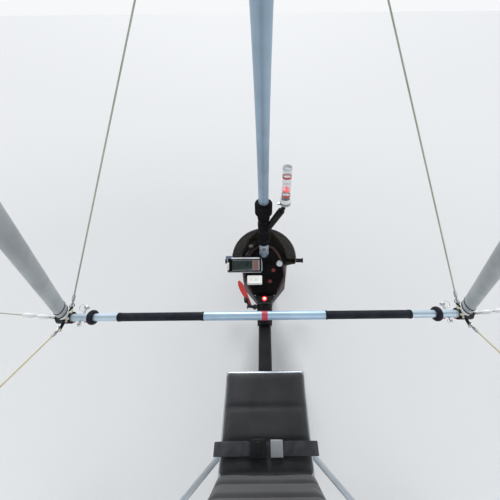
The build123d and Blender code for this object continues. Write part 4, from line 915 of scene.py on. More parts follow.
def seat_pad(name, middle, along, up, length, width, depth, furrows):
    """One pad: a block along two directions, swollen, furrowed and finished with a piped edge."""
    across = up.cross(along).normalized()
    turn = Matrix((along, across, up)).transposed()
    size = (length - PAD_INSET, width - PAD_INSET, depth - PAD_THINNER)
    pad = rounded_block(ORIGIN, size, PAD_ROUNDING)
    remesh = pad.modifiers.new("even_faces", "REMESH")
    remesh.mode = "VOXEL"
    remesh.voxel_size = PAD_VOXEL
    apply_modifiers(pad)
    swell(pad, PAD_CAP)
    for vertex in pad.data.vertices:
        on_top = max(0.0, min(1.0, vertex.co.z / (depth / 2) * 2.0))
        inset = max(0.0, 1 - (abs(vertex.co.y) / (width / 2)) ** 6)
        for furrow in furrows:
            sunk = bell((vertex.co.x - furrow * length) / FURROW_HALF)
            vertex.co.z -= FURROW_DEPTH * on_top * inset * sunk
        edge_pinch = PINCH_DEPTH * bell((vertex.co.z - depth * PINCH_PLACE) / PINCH_HALF)
        side = Vector((vertex.co.x / length, vertex.co.y / width, 0))
        if max(abs(side.x), abs(side.y)) > RIM_FROM:
            vertex.co -= side.normalized() * edge_pinch
    smooth = pad.modifiers.new("smooth", "SUBSURF")
    smooth.levels = 1
    smooth.render_levels = 1
    apply_modifiers(pad)
    bpy.ops.object.shade_smooth()
    pad.location = middle
    pad.rotation_euler = turn.to_euler()
    pad.name = name
    print(name, "has", len(pad.data.polygons), "faces")
    return pad


SEAT_FRONT, SEAT_REAR = on_trike(0.330, 0, 0.452), on_trike(-0.050, 0, 0.425)
SEAT_TOP = on_trike(-0.205, 0, 0.965)
seat_run, back_run = SEAT_FRONT - SEAT_REAR, SEAT_TOP - SEAT_REAR
seat_along, back_along = seat_run.normalized(), back_run.normalized()
seat_up = Vector((-seat_along.z, 0, seat_along.x))
back_up = Vector((back_along.z, 0, -back_along.x))
PAD_WIDTH = 0.374
BASE_DEPTH, BACK_DEPTH, SEAT_TUBE = 0.052, 0.048, 0.011
base_middle = SEAT_REAR + seat_run * 0.53 + seat_up * (SEAT_TUBE + BASE_DEPTH / 2)
base_pad = seat_pad(
    "seat_cushion", base_middle, seat_along, seat_up, seat_run.length * 0.98, PAD_WIDTH, BASE_DEPTH,
    (-0.2, 0.1),
)
back_middle = SEAT_REAR + back_run * 0.55 + back_up * (SEAT_TUBE + BACK_DEPTH / 2)
back_pad = seat_pad(
    "seat_back_cushion", back_middle, back_along, back_up, back_run.length * 0.84, PAD_WIDTH, BACK_DEPTH,
    (-0.28, -0.06, 0.16),
)

# %% [markdown]
# The cover is a coarse black canvas weave with a faint sheen, its black clouded a little lighter in places.
# The weave is two crossed wave patterns in relief, laid on Object coordinates.

# %% The canvas cover
canvas = new_finish("canvas", (40, 41, 45), 0.85)
shade_by(canvas, noise(canvas, 6.0, 6.0), seen_as(33, 34, 37), seen_as(56, 57, 60), 0.35, 0.7)


def weave_of(finish, scale, turn):
    """Threads one way: a wave pattern, for the weft or the warp."""
    wave = add_node(finish, "TexWave", Scale=scale, Distortion=0.6)
    join_sockets(finish, pattern_place(finish, (1, 1, 1), turn), wave.inputs["Vector"])
    return wave.outputs["Fac"]


warp = weave_of(canvas, 260.0, (0, 0, 0))
weft = weave_of(canvas, 260.0, (0, 0, radians(90)))
canvas_relief = relief_by(canvas, warp, 0.0003, 0.5)
relief_by(canvas, weft, 0.0003, 0.5, canvas_relief)
adjust(canvas, "Sheen Weight", 0.35)
adjust(canvas, "Sheen Roughness", 0.5)
for pad, node_name, fill in ((base_pad, "seat_base_pad", 0.8), (back_pad, "seat_back_pad", 0.7)):
    settle(pad, pad.name, canvas, "frame")
    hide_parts(node_name)

# %% [markdown]
# A lap belt lies over the seat pan as it is left after a flight: two flat webbing straps from the
# frame, one with a steel latch plate and one with its buckle. Webbing is modelled directly as thin
# strips, because a remesh would erase it.

# %% The lap belt
STRAP_WIDTH, STRAP_THICK = 0.046, 0.0018
webbing = clouded("webbing", (44, 46, 52), 0.7, (30.0, 4.0), (36, 38, 43), (60, 62, 68))
relief_by(webbing, weave_of(webbing, 420.0, (0, 0, radians(45))), 0.0004, 0.6)


def strap(route):
    """A flat strap along a chain of points, with its width across the seat's run."""
    select_none()
    bpy.ops.mesh.primitive_grid_add(x_subdivisions=len(route) - 1, y_subdivisions=4, size=1)
    piece = bpy.context.object
    for vertex in piece.data.vertices:
        at = round((vertex.co.x + 0.5) * (len(route) - 1))
        vertex.co = route[at] + seat_along * (vertex.co.y * STRAP_WIDTH)
    body = piece.modifiers.new("body", "SOLIDIFY")
    body.thickness = STRAP_THICK
    body.offset = 0
    rounder = piece.modifiers.new("rounder", "SUBSURF")
    rounder.levels = 2
    rounder.render_levels = 2
    apply_modifiers(piece)
    bpy.ops.object.shade_smooth()
    return piece


BELT_BASE = SEAT_REAR + seat_along * 0.105


def belt_route(side, reach):
    """From the frame's tube beside the seat, up over the pad's edge and in across it."""
    places = (
        # out, up
        (0.196, -0.015), (0.203, 0.030), (0.199, 0.060), (0.178, 0.0725), (0.140, 0.0745), (0.100, 0.0735),
        (reach, 0.0725),
    )
    return [BELT_BASE + seat_up * up + LEFT * side * out for out, up in places]


straps = [strap(belt_route(side, reach)) for side, reach in ((1, 0.052), (-1, 0.060))]
settle(joined(straps), "lap_belt", webbing, "frame")
buckle_turn = Matrix((seat_along, LEFT, seat_up)).transposed()
BELT_FITTINGS = (
    # left, up, size, rounding: the buckle, its release and the latch plate
    (0.030, 0.080, (0.062, 0.060, 0.018), 0.005),
    (0.028, 0.088, (0.040, 0.020, 0.008), 0.003),
    (-0.040, 0.076, (0.052, 0.046, 0.004), 0.0015),
)
buckle, release, latch = [
    rounded_block(BELT_BASE + seat_up * up + LEFT * left, size, rounding, buckle_turn)
    for left, up, size, rounding in BELT_FITTINGS
]
settle(joined([buckle, release]), "belt_buckle", black_plastic, "frame")
settle(latch, "belt_latch", zinc_steel, "frame")

# %% [markdown]
# The front strut wears a sleeve of black foam just above the pod, with a thicker collar at its top.
# It is pinched by cable ties. A turned profile with shallow waists gives the pinches, and each tie is
# a thin ring with its square lock.

# %% The foam wrap and its ties
WRAP_LOW, CUFF_HIGH, COLLAR_LOW, STEP_WIDTH = 0.290, 0.340, 0.505, 0.007
END_ROUNDING, END_FADE = 0.005, 0.0025
WRAP_HIGH = (STRUT_BEND - STRUT_FOOT).length
TIE_PLACES = (0.316, 0.385, 0.455)
CUFF_RADIUS, WRAP_RADIUS, COLLAR_RADIUS = 0.0371, 0.0322, 0.0442
FOAM_RINGS, TIE_PINCH, TIE_HALF = 120, 0.0045, 0.009


def step_up(along, place):
    """Goes smoothly from 0 to 1 about a place."""
    share = max(0.0, min(1.0, (along - place) / STEP_WIDTH + 0.5))
    return share * share * (3 - 2 * share)


def foam_radius(along):
    """Radius of the foam at a distance up the strut: cuff, slim middle with waists, thick collar."""
    radius = CUFF_RADIUS + (WRAP_RADIUS - CUFF_RADIUS) * step_up(along, CUFF_HIGH)
    radius += (COLLAR_RADIUS - WRAP_RADIUS) * step_up(along, COLLAR_LOW)
    radius -= sum(TIE_PINCH * bell((along - tie) / TIE_HALF) for tie in TIE_PLACES)
    for end in (WRAP_LOW, WRAP_HIGH):
        radius -= END_ROUNDING * GROWTH ** (-abs(along - end) / END_FADE)
    return radius


foam_steps = [WRAP_LOW + (WRAP_HIGH - WRAP_LOW) * step / FOAM_RINGS for step in range(FOAM_RINGS + 1)]
foam_profile = [(along, foam_radius(along)) for along in foam_steps]
foam_wrap = turned(foam_profile, STRUT_FOOT, STRUT_UP, sides=48, crisp=60)
settle(foam_wrap, "foam_wrap", wrap_foam, "frame")
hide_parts("strut_wrap")
tie_parts = []
for tie in TIE_PLACES:
    snug = foam_radius(tie) + 0.0009
    tie_place = STRUT_FOOT + STRUT_UP * tie
    lock_place = tie_place + Vector((-snug - 0.001, 0.004, 0))
    tie_parts.append(turned(collar_profile(0.002, snug, 0.0004, 0.0008), tie_place, STRUT_UP, sides=40))
    tie_parts.append(rounded_block(lock_place, (0.006, 0.006, 0.0055), 0.001))
settle(joined(tie_parts), "wrap_ties", black_plastic, "frame")
print("cable ties on the wrap:", len(TIE_PLACES))

# %% [markdown]
# The airspeed tube is a simple wind gauge: a clear tapered tube in which a light disc floats up as
# the air moves faster. Red and grey bands mark the scale. The tube stays clear and hollow, and the
# bands are thin rings a hair outside it.

# %% The airspeed tube
tube_low, tube_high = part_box("airspeed_tube")
tube_foot = Vector(((tube_low.x + tube_high.x) / 2, (tube_low.y + tube_high.y) / 2, tube_low.z))
TUBE_LENGTH = tube_high.z - tube_low.z
TUBE_RADIUS = (tube_high.y - tube_low.y) / 2
TUBE_BANDS = (
    # heights of the first and the last, how many, how high each is, and whether it is red
    (0.026, 0.118, 2, 0.009, True),
    (0.014, 0.137, 7, 0.0016, False),
)


def on_tube(name, profile, finish, slot="clear_plastic", **shape):
    """A piece turned about the airspeed tube's middle line, with heights above its foot."""
    return turned_piece(name, profile, tube_foot, UP, finish, "frame", slot, **shape)


glass_profile = [
    (0.0, TUBE_RADIUS), (0.004, TUBE_RADIUS), (TUBE_LENGTH - 0.012, TUBE_RADIUS),
    (TUBE_LENGTH, TUBE_RADIUS - 0.001),
]
glass = on_tube("airspeed_glass", glass_profile, clear_tube, sides=48, wall=0.0028)
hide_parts("airspeed_tube")
scale_red = clear_sheet("scale_red", (222, 70, 62), 0.3, 1.45, 0.7)
scale_grey = clear_sheet("scale_grey", (150, 152, 150), 0.3, 1.45, 0.55)
float_red_painted_glow = moulded("float_red_painted_glow", (246, 66, 78), 0.4)
# The float gives off a little light of its own: a painted glow, since it is no lamp.
glow(float_red_painted_glow, (1.0, 0.10, 0.14), 0.45)
tube_rim = moulded("tube_rim", (222, 227, 230), 0.35)
band_reach = TUBE_RADIUS + 0.0006
for first, last, count, high, is_red in TUBE_BANDS:
    for number in range(count):
        low = first + (last - first) * number / (count - 1)
        band_profile = [
            (low, band_reach - 0.0006), (low + 0.0004, band_reach), (low + high - 0.0004, band_reach),
            (low + high, band_reach - 0.0006),
        ]
        name = ("scale_red_band_" if is_red else "scale_line_") + str(number + 1)
        on_tube(name, band_profile, scale_red if is_red else scale_grey, sides=48, wall=0.0007)
cap_profile = [
    (TUBE_LENGTH - 0.014, TUBE_RADIUS + 0.0012), (TUBE_LENGTH - 0.002, TUBE_RADIUS + 0.0022),
    (TUBE_LENGTH, TUBE_RADIUS + 0.0010),
]
on_tube("airspeed_cap", cap_profile, tube_rim, sides=48, wall=0.003)
float_profile = [
    (0.050, 0.003), (0.051, 0.0148), (0.0560, 0.0156), (0.061, 0.0148), (0.062, 0.004), (0.076, 0.0025),
]
on_tube("airspeed_float", float_profile, float_red_painted_glow, sides=36)
base_profile = [(-0.010, 0.0235), (-0.006, 0.0262), (0.006, 0.0262), (0.012, 0.0228)]
on_tube("airspeed_base_ring", base_profile, white_plastic, "clamp_plastic", sides=48, wall=0.004)
clamp_profile = [(-0.023, 0.0240), (-0.021, 0.0252), (-0.015, 0.0252), (-0.013, 0.0240)]
clamp_band = turned(clamp_profile, tube_foot, UP, sides=48, wall=0.0015)
clamp_lug = rounded_block(tube_foot + Vector((0.000, 0.030, -0.018)), (0.012, 0.014, 0.010), 0.002)
settle(joined([clamp_band, clamp_lug]), "airspeed_hose_clamp", zinc_steel, "frame")
print("airspeed tube is", round(TUBE_LENGTH, 3), "m long")

# %% [markdown]
# The display unit is the largest instrument: a silver case on a ball arm, with a dark green screen and
# a column of rubber keys. Its glass lies in the recess of the case, and plain figures stand on it in
# seven straight bars each, as on any simple gauge. They are small raised blocks, joined to one piece.

# %% The display's glass, keys and figures
DISPLAY_MIDDLE = on_trike(0.848, 0.112, 0.641)
DISPLAY_FACE = Vector((-0.62, 0.0, 0.78)).normalized()
DISPLAY_DOWN = DISPLAY_FACE.cross(LEFT)
display_turn = Matrix((LEFT, DISPLAY_DOWN, DISPLAY_FACE)).transposed()
SEGMENTS = {
    # figure: its lit bars, from the top one clockwise, and the middle one last
    "0": "abcdef", "1": "bc", "2": "abged", "4": "fgbc", "5": "afgcd", "6": "afgedc", "8": "abcdefg",
}
BAR_PLACES = {
    # bar: across and down from the figure's middle, in figure widths and heights, and whether it lies
    "a": (0, -0.5, True), "b": (0.5, -0.25, False), "c": (0.5, 0.25, False), "d": (0, 0.5, True),
    "e": (-0.5, 0.25, False), "f": (-0.5, -0.25, False), "g": (0, 0, True),
}


def on_display(left, down, out):
    """Place on the display's face: to its left as seen from ahead, down it and out of it."""
    return DISPLAY_MIDDLE + LEFT * left + DISPLAY_DOWN * down + DISPLAY_FACE * out


def display_block(left, down, out, size, rounding):
    """A rounded block that lies square to the display's face."""
    return rounded_block(on_display(left, down, out), size, rounding, display_turn)


def figures(text, place, right, down, out, height, turn):
    """Seven-bar figures in a row, on a face whose right and down directions are given."""
    width, thick = height * 0.5, height * 0.11
    bars = []
    for number, figure in enumerate(text):
        if figure not in SEGMENTS:
            continue
        middle = place + right * (number * height * 0.85)
        for bar in SEGMENTS[figure]:
            across, drop, lying = BAR_PLACES[bar]
            size = (width * 0.85, thick, 0.0004) if lying else (thick, width * 0.85, 0.0004)
            centre = middle + right * (across * width) + down * (drop * height) + out * 0.0002
            bars.append(rounded_block(centre, size, 0.0001, turn, 1))
    return joined(bars)


display_glass = clouded("display_glass", (8, 34, 29), 0.14, (60.0, 3.0), (5, 28, 24), (12, 42, 35))
gloss_by(display_glass, noise(display_glass, 30.0, 6.0), 0.1, 0.24)
adjust(display_glass, "Coat Weight", 0.5)
figure_green = clouded("figure_green", (30, 68, 58), 0.4, (200.0, 2.0), (26, 62, 52), (38, 78, 66))
key_rubber = moulded("key_rubber", (148, 106, 98), 0.6)
case_socket = moulded("case_socket", (104, 120, 142), 0.45)
READINGS = (
    # figures, left and down from the middle, height
    ("64", 0.052, -0.012, 0.017),
    ("120", 0.010, -0.014, 0.012),
    ("0", -0.032, -0.014, 0.012),
    ("25", 0.050, 0.014, 0.011),
    ("8.50", 0.006, 0.014, 0.009),
)
KEYS_DOWN = (-0.020, -0.0067, 0.0067, 0.020)
DISPLAY_BLOCKS = (
    # name, finish, and its blocks: left, down and out from the middle, size and rounding
    ("display_glass", display_glass, [(0.012, 0, -0.0017, (0.116, 0.056, 0.0020), 0.0008)]),
    ("display_keys", key_rubber, [
        (-0.0640, 0, -0.0014, (0.030, 0.056, 0.0026), 0.001),
        *[(-0.0640, down, 0.0006, (0.017, 0.0085, 0.0030), 0.0012) for down in KEYS_DOWN],
    ]),
    ("display_fascia", panel_black, [
        (0, -0.0345, 0.0006, (0.190, 0.009, 0.0016), 0.0006),
        (0, 0.0345, 0.0006, (0.190, 0.009, 0.0016), 0.0006),
        (0.0825, 0, 0.0006, (0.025, 0.076, 0.0016), 0.0006),
        (-0.0905, 0, 0.0006, (0.009, 0.076, 0.0016), 0.0006),
    ]),
    ("display_rails", white_plastic, [
        (0.0925, 0.006, 0.0015, (0.0095, 0.044, 0.0075), 0.002),
        (-0.006, -0.0395, 0.002, (0.162, 0.0075, 0.010), 0.002),
    ]),
    ("display_socket", case_socket, [(0.088, -0.0460, -0.008, (0.040, 0.018, 0.016), 0.004)]),
    ("display_bracket", machined_plate, [
        (-0.0985, 0.006, -0.006, (0.0060, 0.052, 0.026), 0.0018),
        (0.0, 0.0400, -0.003, (0.188, 0.0050, 0.014), 0.0018),
    ]),
)
for name, finish, blocks in DISPLAY_BLOCKS:
    settle(joined([display_block(*block) for block in blocks]), name, finish, "frame")
readout = []
for reading, left, down, height in READINGS:
    start = on_display(left, down, -0.0007)
    readout.append(figures(reading, start, -LEFT, DISPLAY_DOWN, DISPLAY_FACE, height, display_turn))
settle(joined(readout), "display_figures", figure_green, "frame")
SCREW_PROFILE = [(-0.0004, 0.0032), (0.0007, 0.0032), (0.0012, 0.0024), (0.0008, 0.0012)]
case_screws = [
    turned(SCREW_PROFILE, on_display(left, down, 0), DISPLAY_FACE, sides=16, crisp=50)
    for left in (-0.0905, 0.0790) for down in (-0.0335, 0.0335)
]
settle(joined(case_screws), "display_screws", zinc_steel, "frame")
print("readings on the display:", len(READINGS))

# %% [markdown]
# Below it, on the sloping panel, are a small white gauge, a ribbed silver cap and two dark red
# buttons, and a plug closes a spare hole. A lit red warning lamp stands behind the panel's foot, on the
# pod's neck. It is a clear dome: a dim outer lens with a bright core. Both give off light, and the core
# is the stronger one.

# %% The panel's gauge, cap, buttons and lamp
PANEL_AHEAD, PANEL_LOW = 0.770, 0.455
PANEL_FOOT = on_trike(PANEL_AHEAD, 0, PANEL_LOW)
PANEL_RUN = Vector((0.215, 0.0, 0.205)).normalized()
PANEL_FACE = Vector((-PANEL_RUN.z, 0.0, PANEL_RUN.x))
panel_turn = Matrix((-LEFT, PANEL_RUN, PANEL_FACE)).transposed()


def on_panel(right, along, out):
    """Place on the panel: right of its middle line, up along it and out of it."""
    return PANEL_FOOT - LEFT * right + PANEL_RUN * along + PANEL_FACE * out


gauge_pale_painted_glow = clouded("gauge_pale_painted_glow", (244, 245, 238), 0.16, (40.0, 3.0), (240, 241, 232), (248, 249, 244))
# The gauge's pale pane gives off a little light of its own: a painted glow, since it is no lamp.
glow(gauge_pale_painted_glow, (1.0, 1.0, 0.95), 0.35)
gauge_ink = clouded("gauge_ink", (196, 200, 194), 0.4, (150.0, 2.0), (188, 192, 188), (206, 209, 204))
button_red = moulded("button_red", (112, 24, 26), 0.35)
lamp_lens = clouded("lamp_lens", (214, 30, 34), 0.15, (300.0, 2.0), (196, 20, 26), (230, 44, 44))
glow(lamp_lens, (1.0, 0.07, 0.06), 1.1)
lamp_core = clouded("lamp_core", (255, 236, 230), 0.3, (200.0, 2.0), (255, 228, 220), (255, 244, 240))
glow(lamp_core, (1.0, 0.80, 0.76), 4.0)
gauge_pane = rounded_block(on_panel(-0.058, 0.096, 0.0084), (0.084, 0.044, 0.0014), 0.0006, panel_turn)
settle(gauge_pane, "gauge_pane", gauge_pale_painted_glow, "frame")
gauge_text = figures(
    "8:52", on_panel(-0.078, 0.096, 0.0091), -LEFT, -PANEL_RUN, PANEL_FACE, 0.014, panel_turn
)
settle(gauge_text, "gauge_figures", gauge_ink, "frame")
LAMP_PLACE, LAMP_FACE = on_trike(0.7335, 0, 0.4715), Vector((-0.364, 0.0, 0.931)).normalized()
CAP_PLACE, PLUG_PLACE = on_panel(0.092, 0.190, 0), on_panel(0, 0.011, 0)
KEY_PLACES = [on_panel(right, 0.0685, 0) for right in (-0.078, -0.058, -0.038)]
BUTTON_PLACES = [on_panel(right, along, 0) for right, along in ((0.034, 0.084), (0.056, 0.150))]
PANEL_ROUNDS = (
    # name, profile, places, the way they face, sides, crispness, finish, slot
    ("gauge_keys", [(0.0075, 0.0026), (0.0092, 0.0026), (0.0098, 0.0019)],
     KEY_PLACES, PANEL_FACE, 16, 35, nylon, "instrument_white"),
    ("panel_cap", [(0.0, 0.0192), (0.0022, 0.0192), (0.0028, 0.0180), (0.0110, 0.0176), (0.0128, 0.0162),
                   (0.0132, 0.0120), (0.0126, 0.0060)],
     [CAP_PLACE], PANEL_FACE, 20, 16, casing_silver, "instrument_white"),
    ("panel_plug", [(0.0, 0.0104), (0.0090, 0.0102), (0.0104, 0.0088), (0.0108, 0.0050)],
     [PLUG_PLACE], PANEL_FACE, 32, 35, panel_black, "panel_black"),
    ("panel_buttons", [(0.0, 0.0118), (0.0022, 0.0118), (0.0026, 0.0096), (0.0086, 0.0095), (0.0100, 0.0082),
                       (0.0096, 0.0040)],
     BUTTON_PLACES, PANEL_FACE, 32, 35, button_red, "panel_black"),
    ("lamp_ring", [(-0.0060, 0.0165), (0.0025, 0.0165), (0.0040, 0.0152), (0.0041, 0.0140)],
     [LAMP_PLACE], LAMP_FACE, 40, 35, black_plastic, "instrument_white"),
    ("lamp_lens", [(0.0030, 0.0142), (0.0075, 0.0138), (0.0108, 0.0116), (0.0124, 0.0080)],
     [LAMP_PLACE], LAMP_FACE, 40, 35, lamp_lens, "instrument_white"),
    ("lamp_core", [(0.0118, 0.0056), (0.0134, 0.0050), (0.0142, 0.0030)],
     [LAMP_PLACE], LAMP_FACE, 32, 60, lamp_core, "instrument_white"),
)
for name, profile, places, facing, sides, crisp, finish, slot in PANEL_ROUNDS:
    rounds = [turned(profile, place, facing, sides, crisp=crisp) for place in places]
    settle(joined(rounds), name, finish, "frame")
print("turned fittings on the panel:", len(PANEL_ROUNDS))

# %% [markdown]
# The cockpit's rim is bound with a leathery piping, which the photograph shows as a warm arc right
# of the instruments. That warm arc is a reddish reflection on the hood's edge, so the piping's
# maroon-brown colour is a painted reflection. Its line is where the sloping cut of the pod meets the
# pod's arched skin, so it is worked out from the same sections as the pod. A curve with a round bevel
# follows it.

# %% The piping round the cockpit, and the screen's edge trim
POD_SECTIONS = (
    # ahead, half width, shoulder, crown
    (0.738, 0.046, 0.436, 0.474),
    (0.850, 0.128, 0.500, 0.620),
    (0.985, 0.150, 0.515, 0.664),
)
RIM_STEPS, ARC_STEPS = 29, 36


def pod_half_width(ahead, up):
    """Half the pod's width at a station and a height: a flat side up to the shoulder, then an arc."""
    for near, far in zip(POD_SECTIONS, POD_SECTIONS[1:]):
        if ahead <= far[0] + 1e-6:
            share = (ahead - near[0]) / (far[0] - near[0])
            half, shoulder, crown = [a + (b - a) * share for a, b in zip(near[1:], far[1:])]
            break
    if up <= shoulder:
        return half
    rise = crown - shoulder
    radius = (rise**2 + half**2) / (2 * rise)
    below = up - (crown - radius)
    return sqrt(max(0.0, radius**2 - below**2))


def tube_through(points, radius, sides=12, closed=False):
    """A round tube along a smooth line through points, made with a bevelled curve."""
    select_none()
    bpy.ops.curve.primitive_nurbs_path_add()
    line = bpy.context.object
    spline = line.data.splines[0]
    spline.points.add(len(points) - len(spline.points))
    for place, point in zip(spline.points, points):
        place.co = (*point, 1.0)
    spline.order_u = 3
    spline.use_endpoint_u = not closed
    spline.use_cyclic_u = closed
    spline.resolution_u = 4
    line.data.bevel_depth = radius
    line.data.bevel_resolution = max(1, sides // 4 - 1)
    line.data.use_fill_caps = not closed
    make_active(line)
    bpy.ops.object.convert(target="MESH")
    bpy.ops.object.shade_smooth()
    return bpy.context.object


rim_points = []
for step in range(RIM_STEPS + 1):
    along = 0.018 + 0.275 * step / RIM_STEPS
    ahead, up = PANEL_AHEAD + PANEL_RUN.x * along, PANEL_LOW + PANEL_RUN.z * along
    half = pod_half_width(ahead, up)
    if half > 0.01:
        rim_points.append(on_trike(ahead, half - 0.001, up))
other_side = [Vector((point.x, -point.y, point.z)) for point in reversed(rim_points)]
# The piping's maroon-brown is a painted reflection of warm light caught on the rim's edge.
piping_painted_reflection = moulded("piping_painted_reflection", (58, 30, 28), 0.6, 0.0002, 520.0)
piping = tube_through(rim_points + other_side, 0.0072, 16)
settle(piping, "cockpit_piping", piping_painted_reflection, "frame")
SCREEN_FOOT, SCREEN_APEX = Vector((0.925, 0, 0.560)), Vector((1.040, 0, 0.750))
SCREEN_HALF = 0.1905
screen_rise = (SCREEN_APEX - SCREEN_FOOT).length - 0.0015
screen_up = (SCREEN_APEX - SCREEN_FOOT).normalized()
arc_radius = (screen_rise**2 + SCREEN_HALF**2) / (2 * screen_rise)
arc_points = []
for step in range(ARC_STEPS + 1):
    around = radians(-4 + 188 * step / ARC_STEPS)
    height = screen_rise - arc_radius + arc_radius * sin(around)
    place = SCREEN_FOOT + screen_up * height
    arc_points.append(on_trike(place.x, arc_radius * cos(around), place.z))
edge_rubber = moulded("edge_rubber", (50, 48, 46), 0.26)
screen_trim = tube_through(arc_points, 0.0042, 12)
settle(screen_trim, "screen_trim", edge_rubber, "frame")
SCREEN_SCREW = [(-0.001, 0.0062), (0.0016, 0.0060), (0.0030, 0.0042), (0.0032, 0.0020)]
screen_screws = [
    turned(SCREEN_SCREW, on_trike(ahead, side * 0.1502, up), LEFT * side, sides=20, crisp=60)
    for side in SIDES for ahead, up in ((0.994, 0.503), (1.038, 0.498))
]
settle(joined(screen_screws), "screen_screws", zinc_steel, "frame")
print("points along the piping:", len(rim_points) * 2)

# %% [markdown]
# Where the front strut enters the pod it wears a pale socket with one recessed bolt that faces
# astern. The hand lever is cast red, with a painted shade that darkens it towards its root beside the
# pod's neck. Two grey straps cross the pod's neck.

# %% The strut's socket, the lever's colour and the neck straps
STRUT_BACK = Vector((-STRUT_UP.z, 0.0, STRUT_UP.x))
socket_skin = drawn_metal("socket_skin", (176, 188, 198), 0.42, (20, 20, 20))
adjust(socket_skin, "Metallic", 0.3)
socket_profile = [(0.232, 0.0262), (0.234, 0.0278), (0.276, 0.0278), (0.279, 0.0262)]
strut_socket = turned(socket_profile, STRUT_FOOT, STRUT_UP, sides=48, wall=0.0014)
settle(strut_socket, "strut_socket", socket_skin, "frame")
socket_place = STRUT_FOOT + STRUT_UP * 0.256 + STRUT_BACK * 0.0262
washer_profile = [(0.0, 0.0105), (0.0026, 0.0105), (0.0032, 0.0092)]
turned_piece("socket_washer", washer_profile, socket_place, STRUT_BACK, black_plastic, "frame", "strut_grey")
heads_at([(socket_place + STRUT_BACK * 0.0028, STRUT_BACK)], 0.0090, 0.0045, "socket_bolt", "frame")
LEVER_FOOT, LEVER_TIP = on_trike(0.703, 0.082, 0.447), on_trike(0.808, 0.151, 0.550)
lever_run = (LEVER_TIP - LEVER_FOOT).normalized()
lever_reach = (LEVER_TIP - LEVER_FOOT).length
BLADE_SIDE, BLADE_FLATNESS = Vector((0.58, -0.81, 0)), 0.36
BLADE = (
    # share of the lever's length, half width
    (0.0, 0.0060), (0.03, 0.0082), (0.16, 0.0105), (0.34, 0.0125), (0.52, 0.0158), (0.70, 0.0168),
    (0.84, 0.0145), (0.94, 0.0095), (0.985, 0.0050), (1.0, 0.0022),
)
lever_across = (BLADE_SIDE - lever_run * BLADE_SIDE.dot(lever_run)).normalized()
lever_turn = Matrix((lever_across, lever_run.cross(lever_across), lever_run)).transposed()
blade_profile = [(share * lever_reach, half) for share, half in BLADE]
lever_blade = turned(blade_profile, LEVER_FOOT, lever_run, sides=40, crisp=70)
lever_blade.scale = (1, BLADE_FLATNESS, 1)
lever_blade.rotation_euler = lever_turn.to_euler()
settle(lever_blade, "lever_blade", lever_red, "frame")
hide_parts("hand_lever")
# Painted shade: the lever's red darkens towards its root, low beside the pod's neck, by the height of each
# point.
lever_root_shade_ramp = shade_by(
    lever_red, noise(lever_red, 1.0, 0.0), seen_as(84, 20, 24), seen_as(222, 62, 60), 0.0, 1.0
)
lever_height = add_node(lever_red, "SeparateXYZ")
join_sockets(lever_red, pattern_place(lever_red), lever_height.inputs["Vector"])
lever_root_shade_span = add_node(lever_red, "MapRange", From_Min=0.452, From_Max=0.482)
join_sockets(lever_red, lever_height.outputs["Z"], lever_root_shade_span.inputs["Value"])
join_sockets(lever_red, lever_root_shade_span.outputs["Result"], lever_root_shade_ramp.inputs["Fac"])
STRAP_STEPS = 12
neck_straps = []
for ahead, half, up in ((0.664, 0.0435, 0.4440), (0.711, 0.0455, 0.4640)):
    strap_points = []
    for across in [-1 + 2 * step / STRAP_STEPS for step in range(STRAP_STEPS + 1)]:
        strap_points.append(on_trike(ahead, half * across, up - 0.018 * across**4 - 0.006 * across**2))
    neck_straps.append(tube_through(strap_points, 0.0032, 8))
strap_grey = moulded("strap_grey", (58, 60, 66), 0.5)
settle(joined(neck_straps), "neck_straps", strap_grey, "frame")
neck_seal = rounded_block(on_panel(0, -0.004, -0.004), (0.108, 0.030, 0.012), 0.005, panel_turn)
settle(neck_seal, "panel_seal", panel_black, "frame")
print("lever, socket and straps are on")

# %% [markdown]
# The pod's shell is open at its very front, where a separate rubber bumper closes it. The bumper has
# the shell's own outline, so a circle's points are moved onto that outline, and the face is then
# drawn forwards and shrunk in small steps, which rounds it like a toe cap.

# %% The pod's nose bumper
BUMPER_HALF, BUMPER_LOW, BUMPER_SHOULDER, BUMPER_CROWN = 0.0475, 0.4525, 0.4780, 0.5015
BUMPER_AHEAD, BUMPER_CORNER, CROWN_STEPS = 1.331, 0.003, 20
BUMPER_DRAWS = (
    # how far forwards, share of the outline before it
    (0.008, 1.0), (0.005, 0.975), (0.004, 0.94), (0.003, 0.88), (0.0015, 0.78),
)
bumper_rise = BUMPER_CROWN - BUMPER_SHOULDER
bumper_arc = (bumper_rise**2 + BUMPER_HALF**2) / (2 * bumper_rise)
bumper_span = asin(BUMPER_HALF / bumper_arc)
bumper_outline = [
    (BUMPER_HALF, BUMPER_LOW + BUMPER_CORNER), (BUMPER_HALF - BUMPER_CORNER, BUMPER_LOW),
    (-BUMPER_HALF + BUMPER_CORNER, BUMPER_LOW), (-BUMPER_HALF, BUMPER_LOW + BUMPER_CORNER),
]
for step in range(CROWN_STEPS + 1):
    around = bumper_span * (2 * step / CROWN_STEPS - 1)
    bumper_outline.append((bumper_arc * sin(around), BUMPER_CROWN - bumper_arc * (1 - cos(around))))
select_none()
bpy.ops.mesh.primitive_circle_add(vertices=len(bumper_outline), radius=1, fill_type="NGON")
bumper = bpy.context.object
for vertex, (left, up) in zip(bumper.data.vertices, bumper_outline):
    vertex.co = on_trike(BUMPER_AHEAD, left, up)
bumper_middle = on_trike(BUMPER_AHEAD, 0, 0.477)
edit_mode()
bpy.ops.mesh.select_all(action="SELECT")
for forwards, share in BUMPER_DRAWS:
    bpy.ops.mesh.extrude_region_move(TRANSFORM_OT_translate={"value": (forwards, 0, 0)})
    bpy.ops.transform.resize(value=(1, share, share), center_override=bumper_middle)
bpy.ops.mesh.select_all(action="SELECT")
bpy.ops.mesh.normals_make_consistent(inside=False)
object_mode()
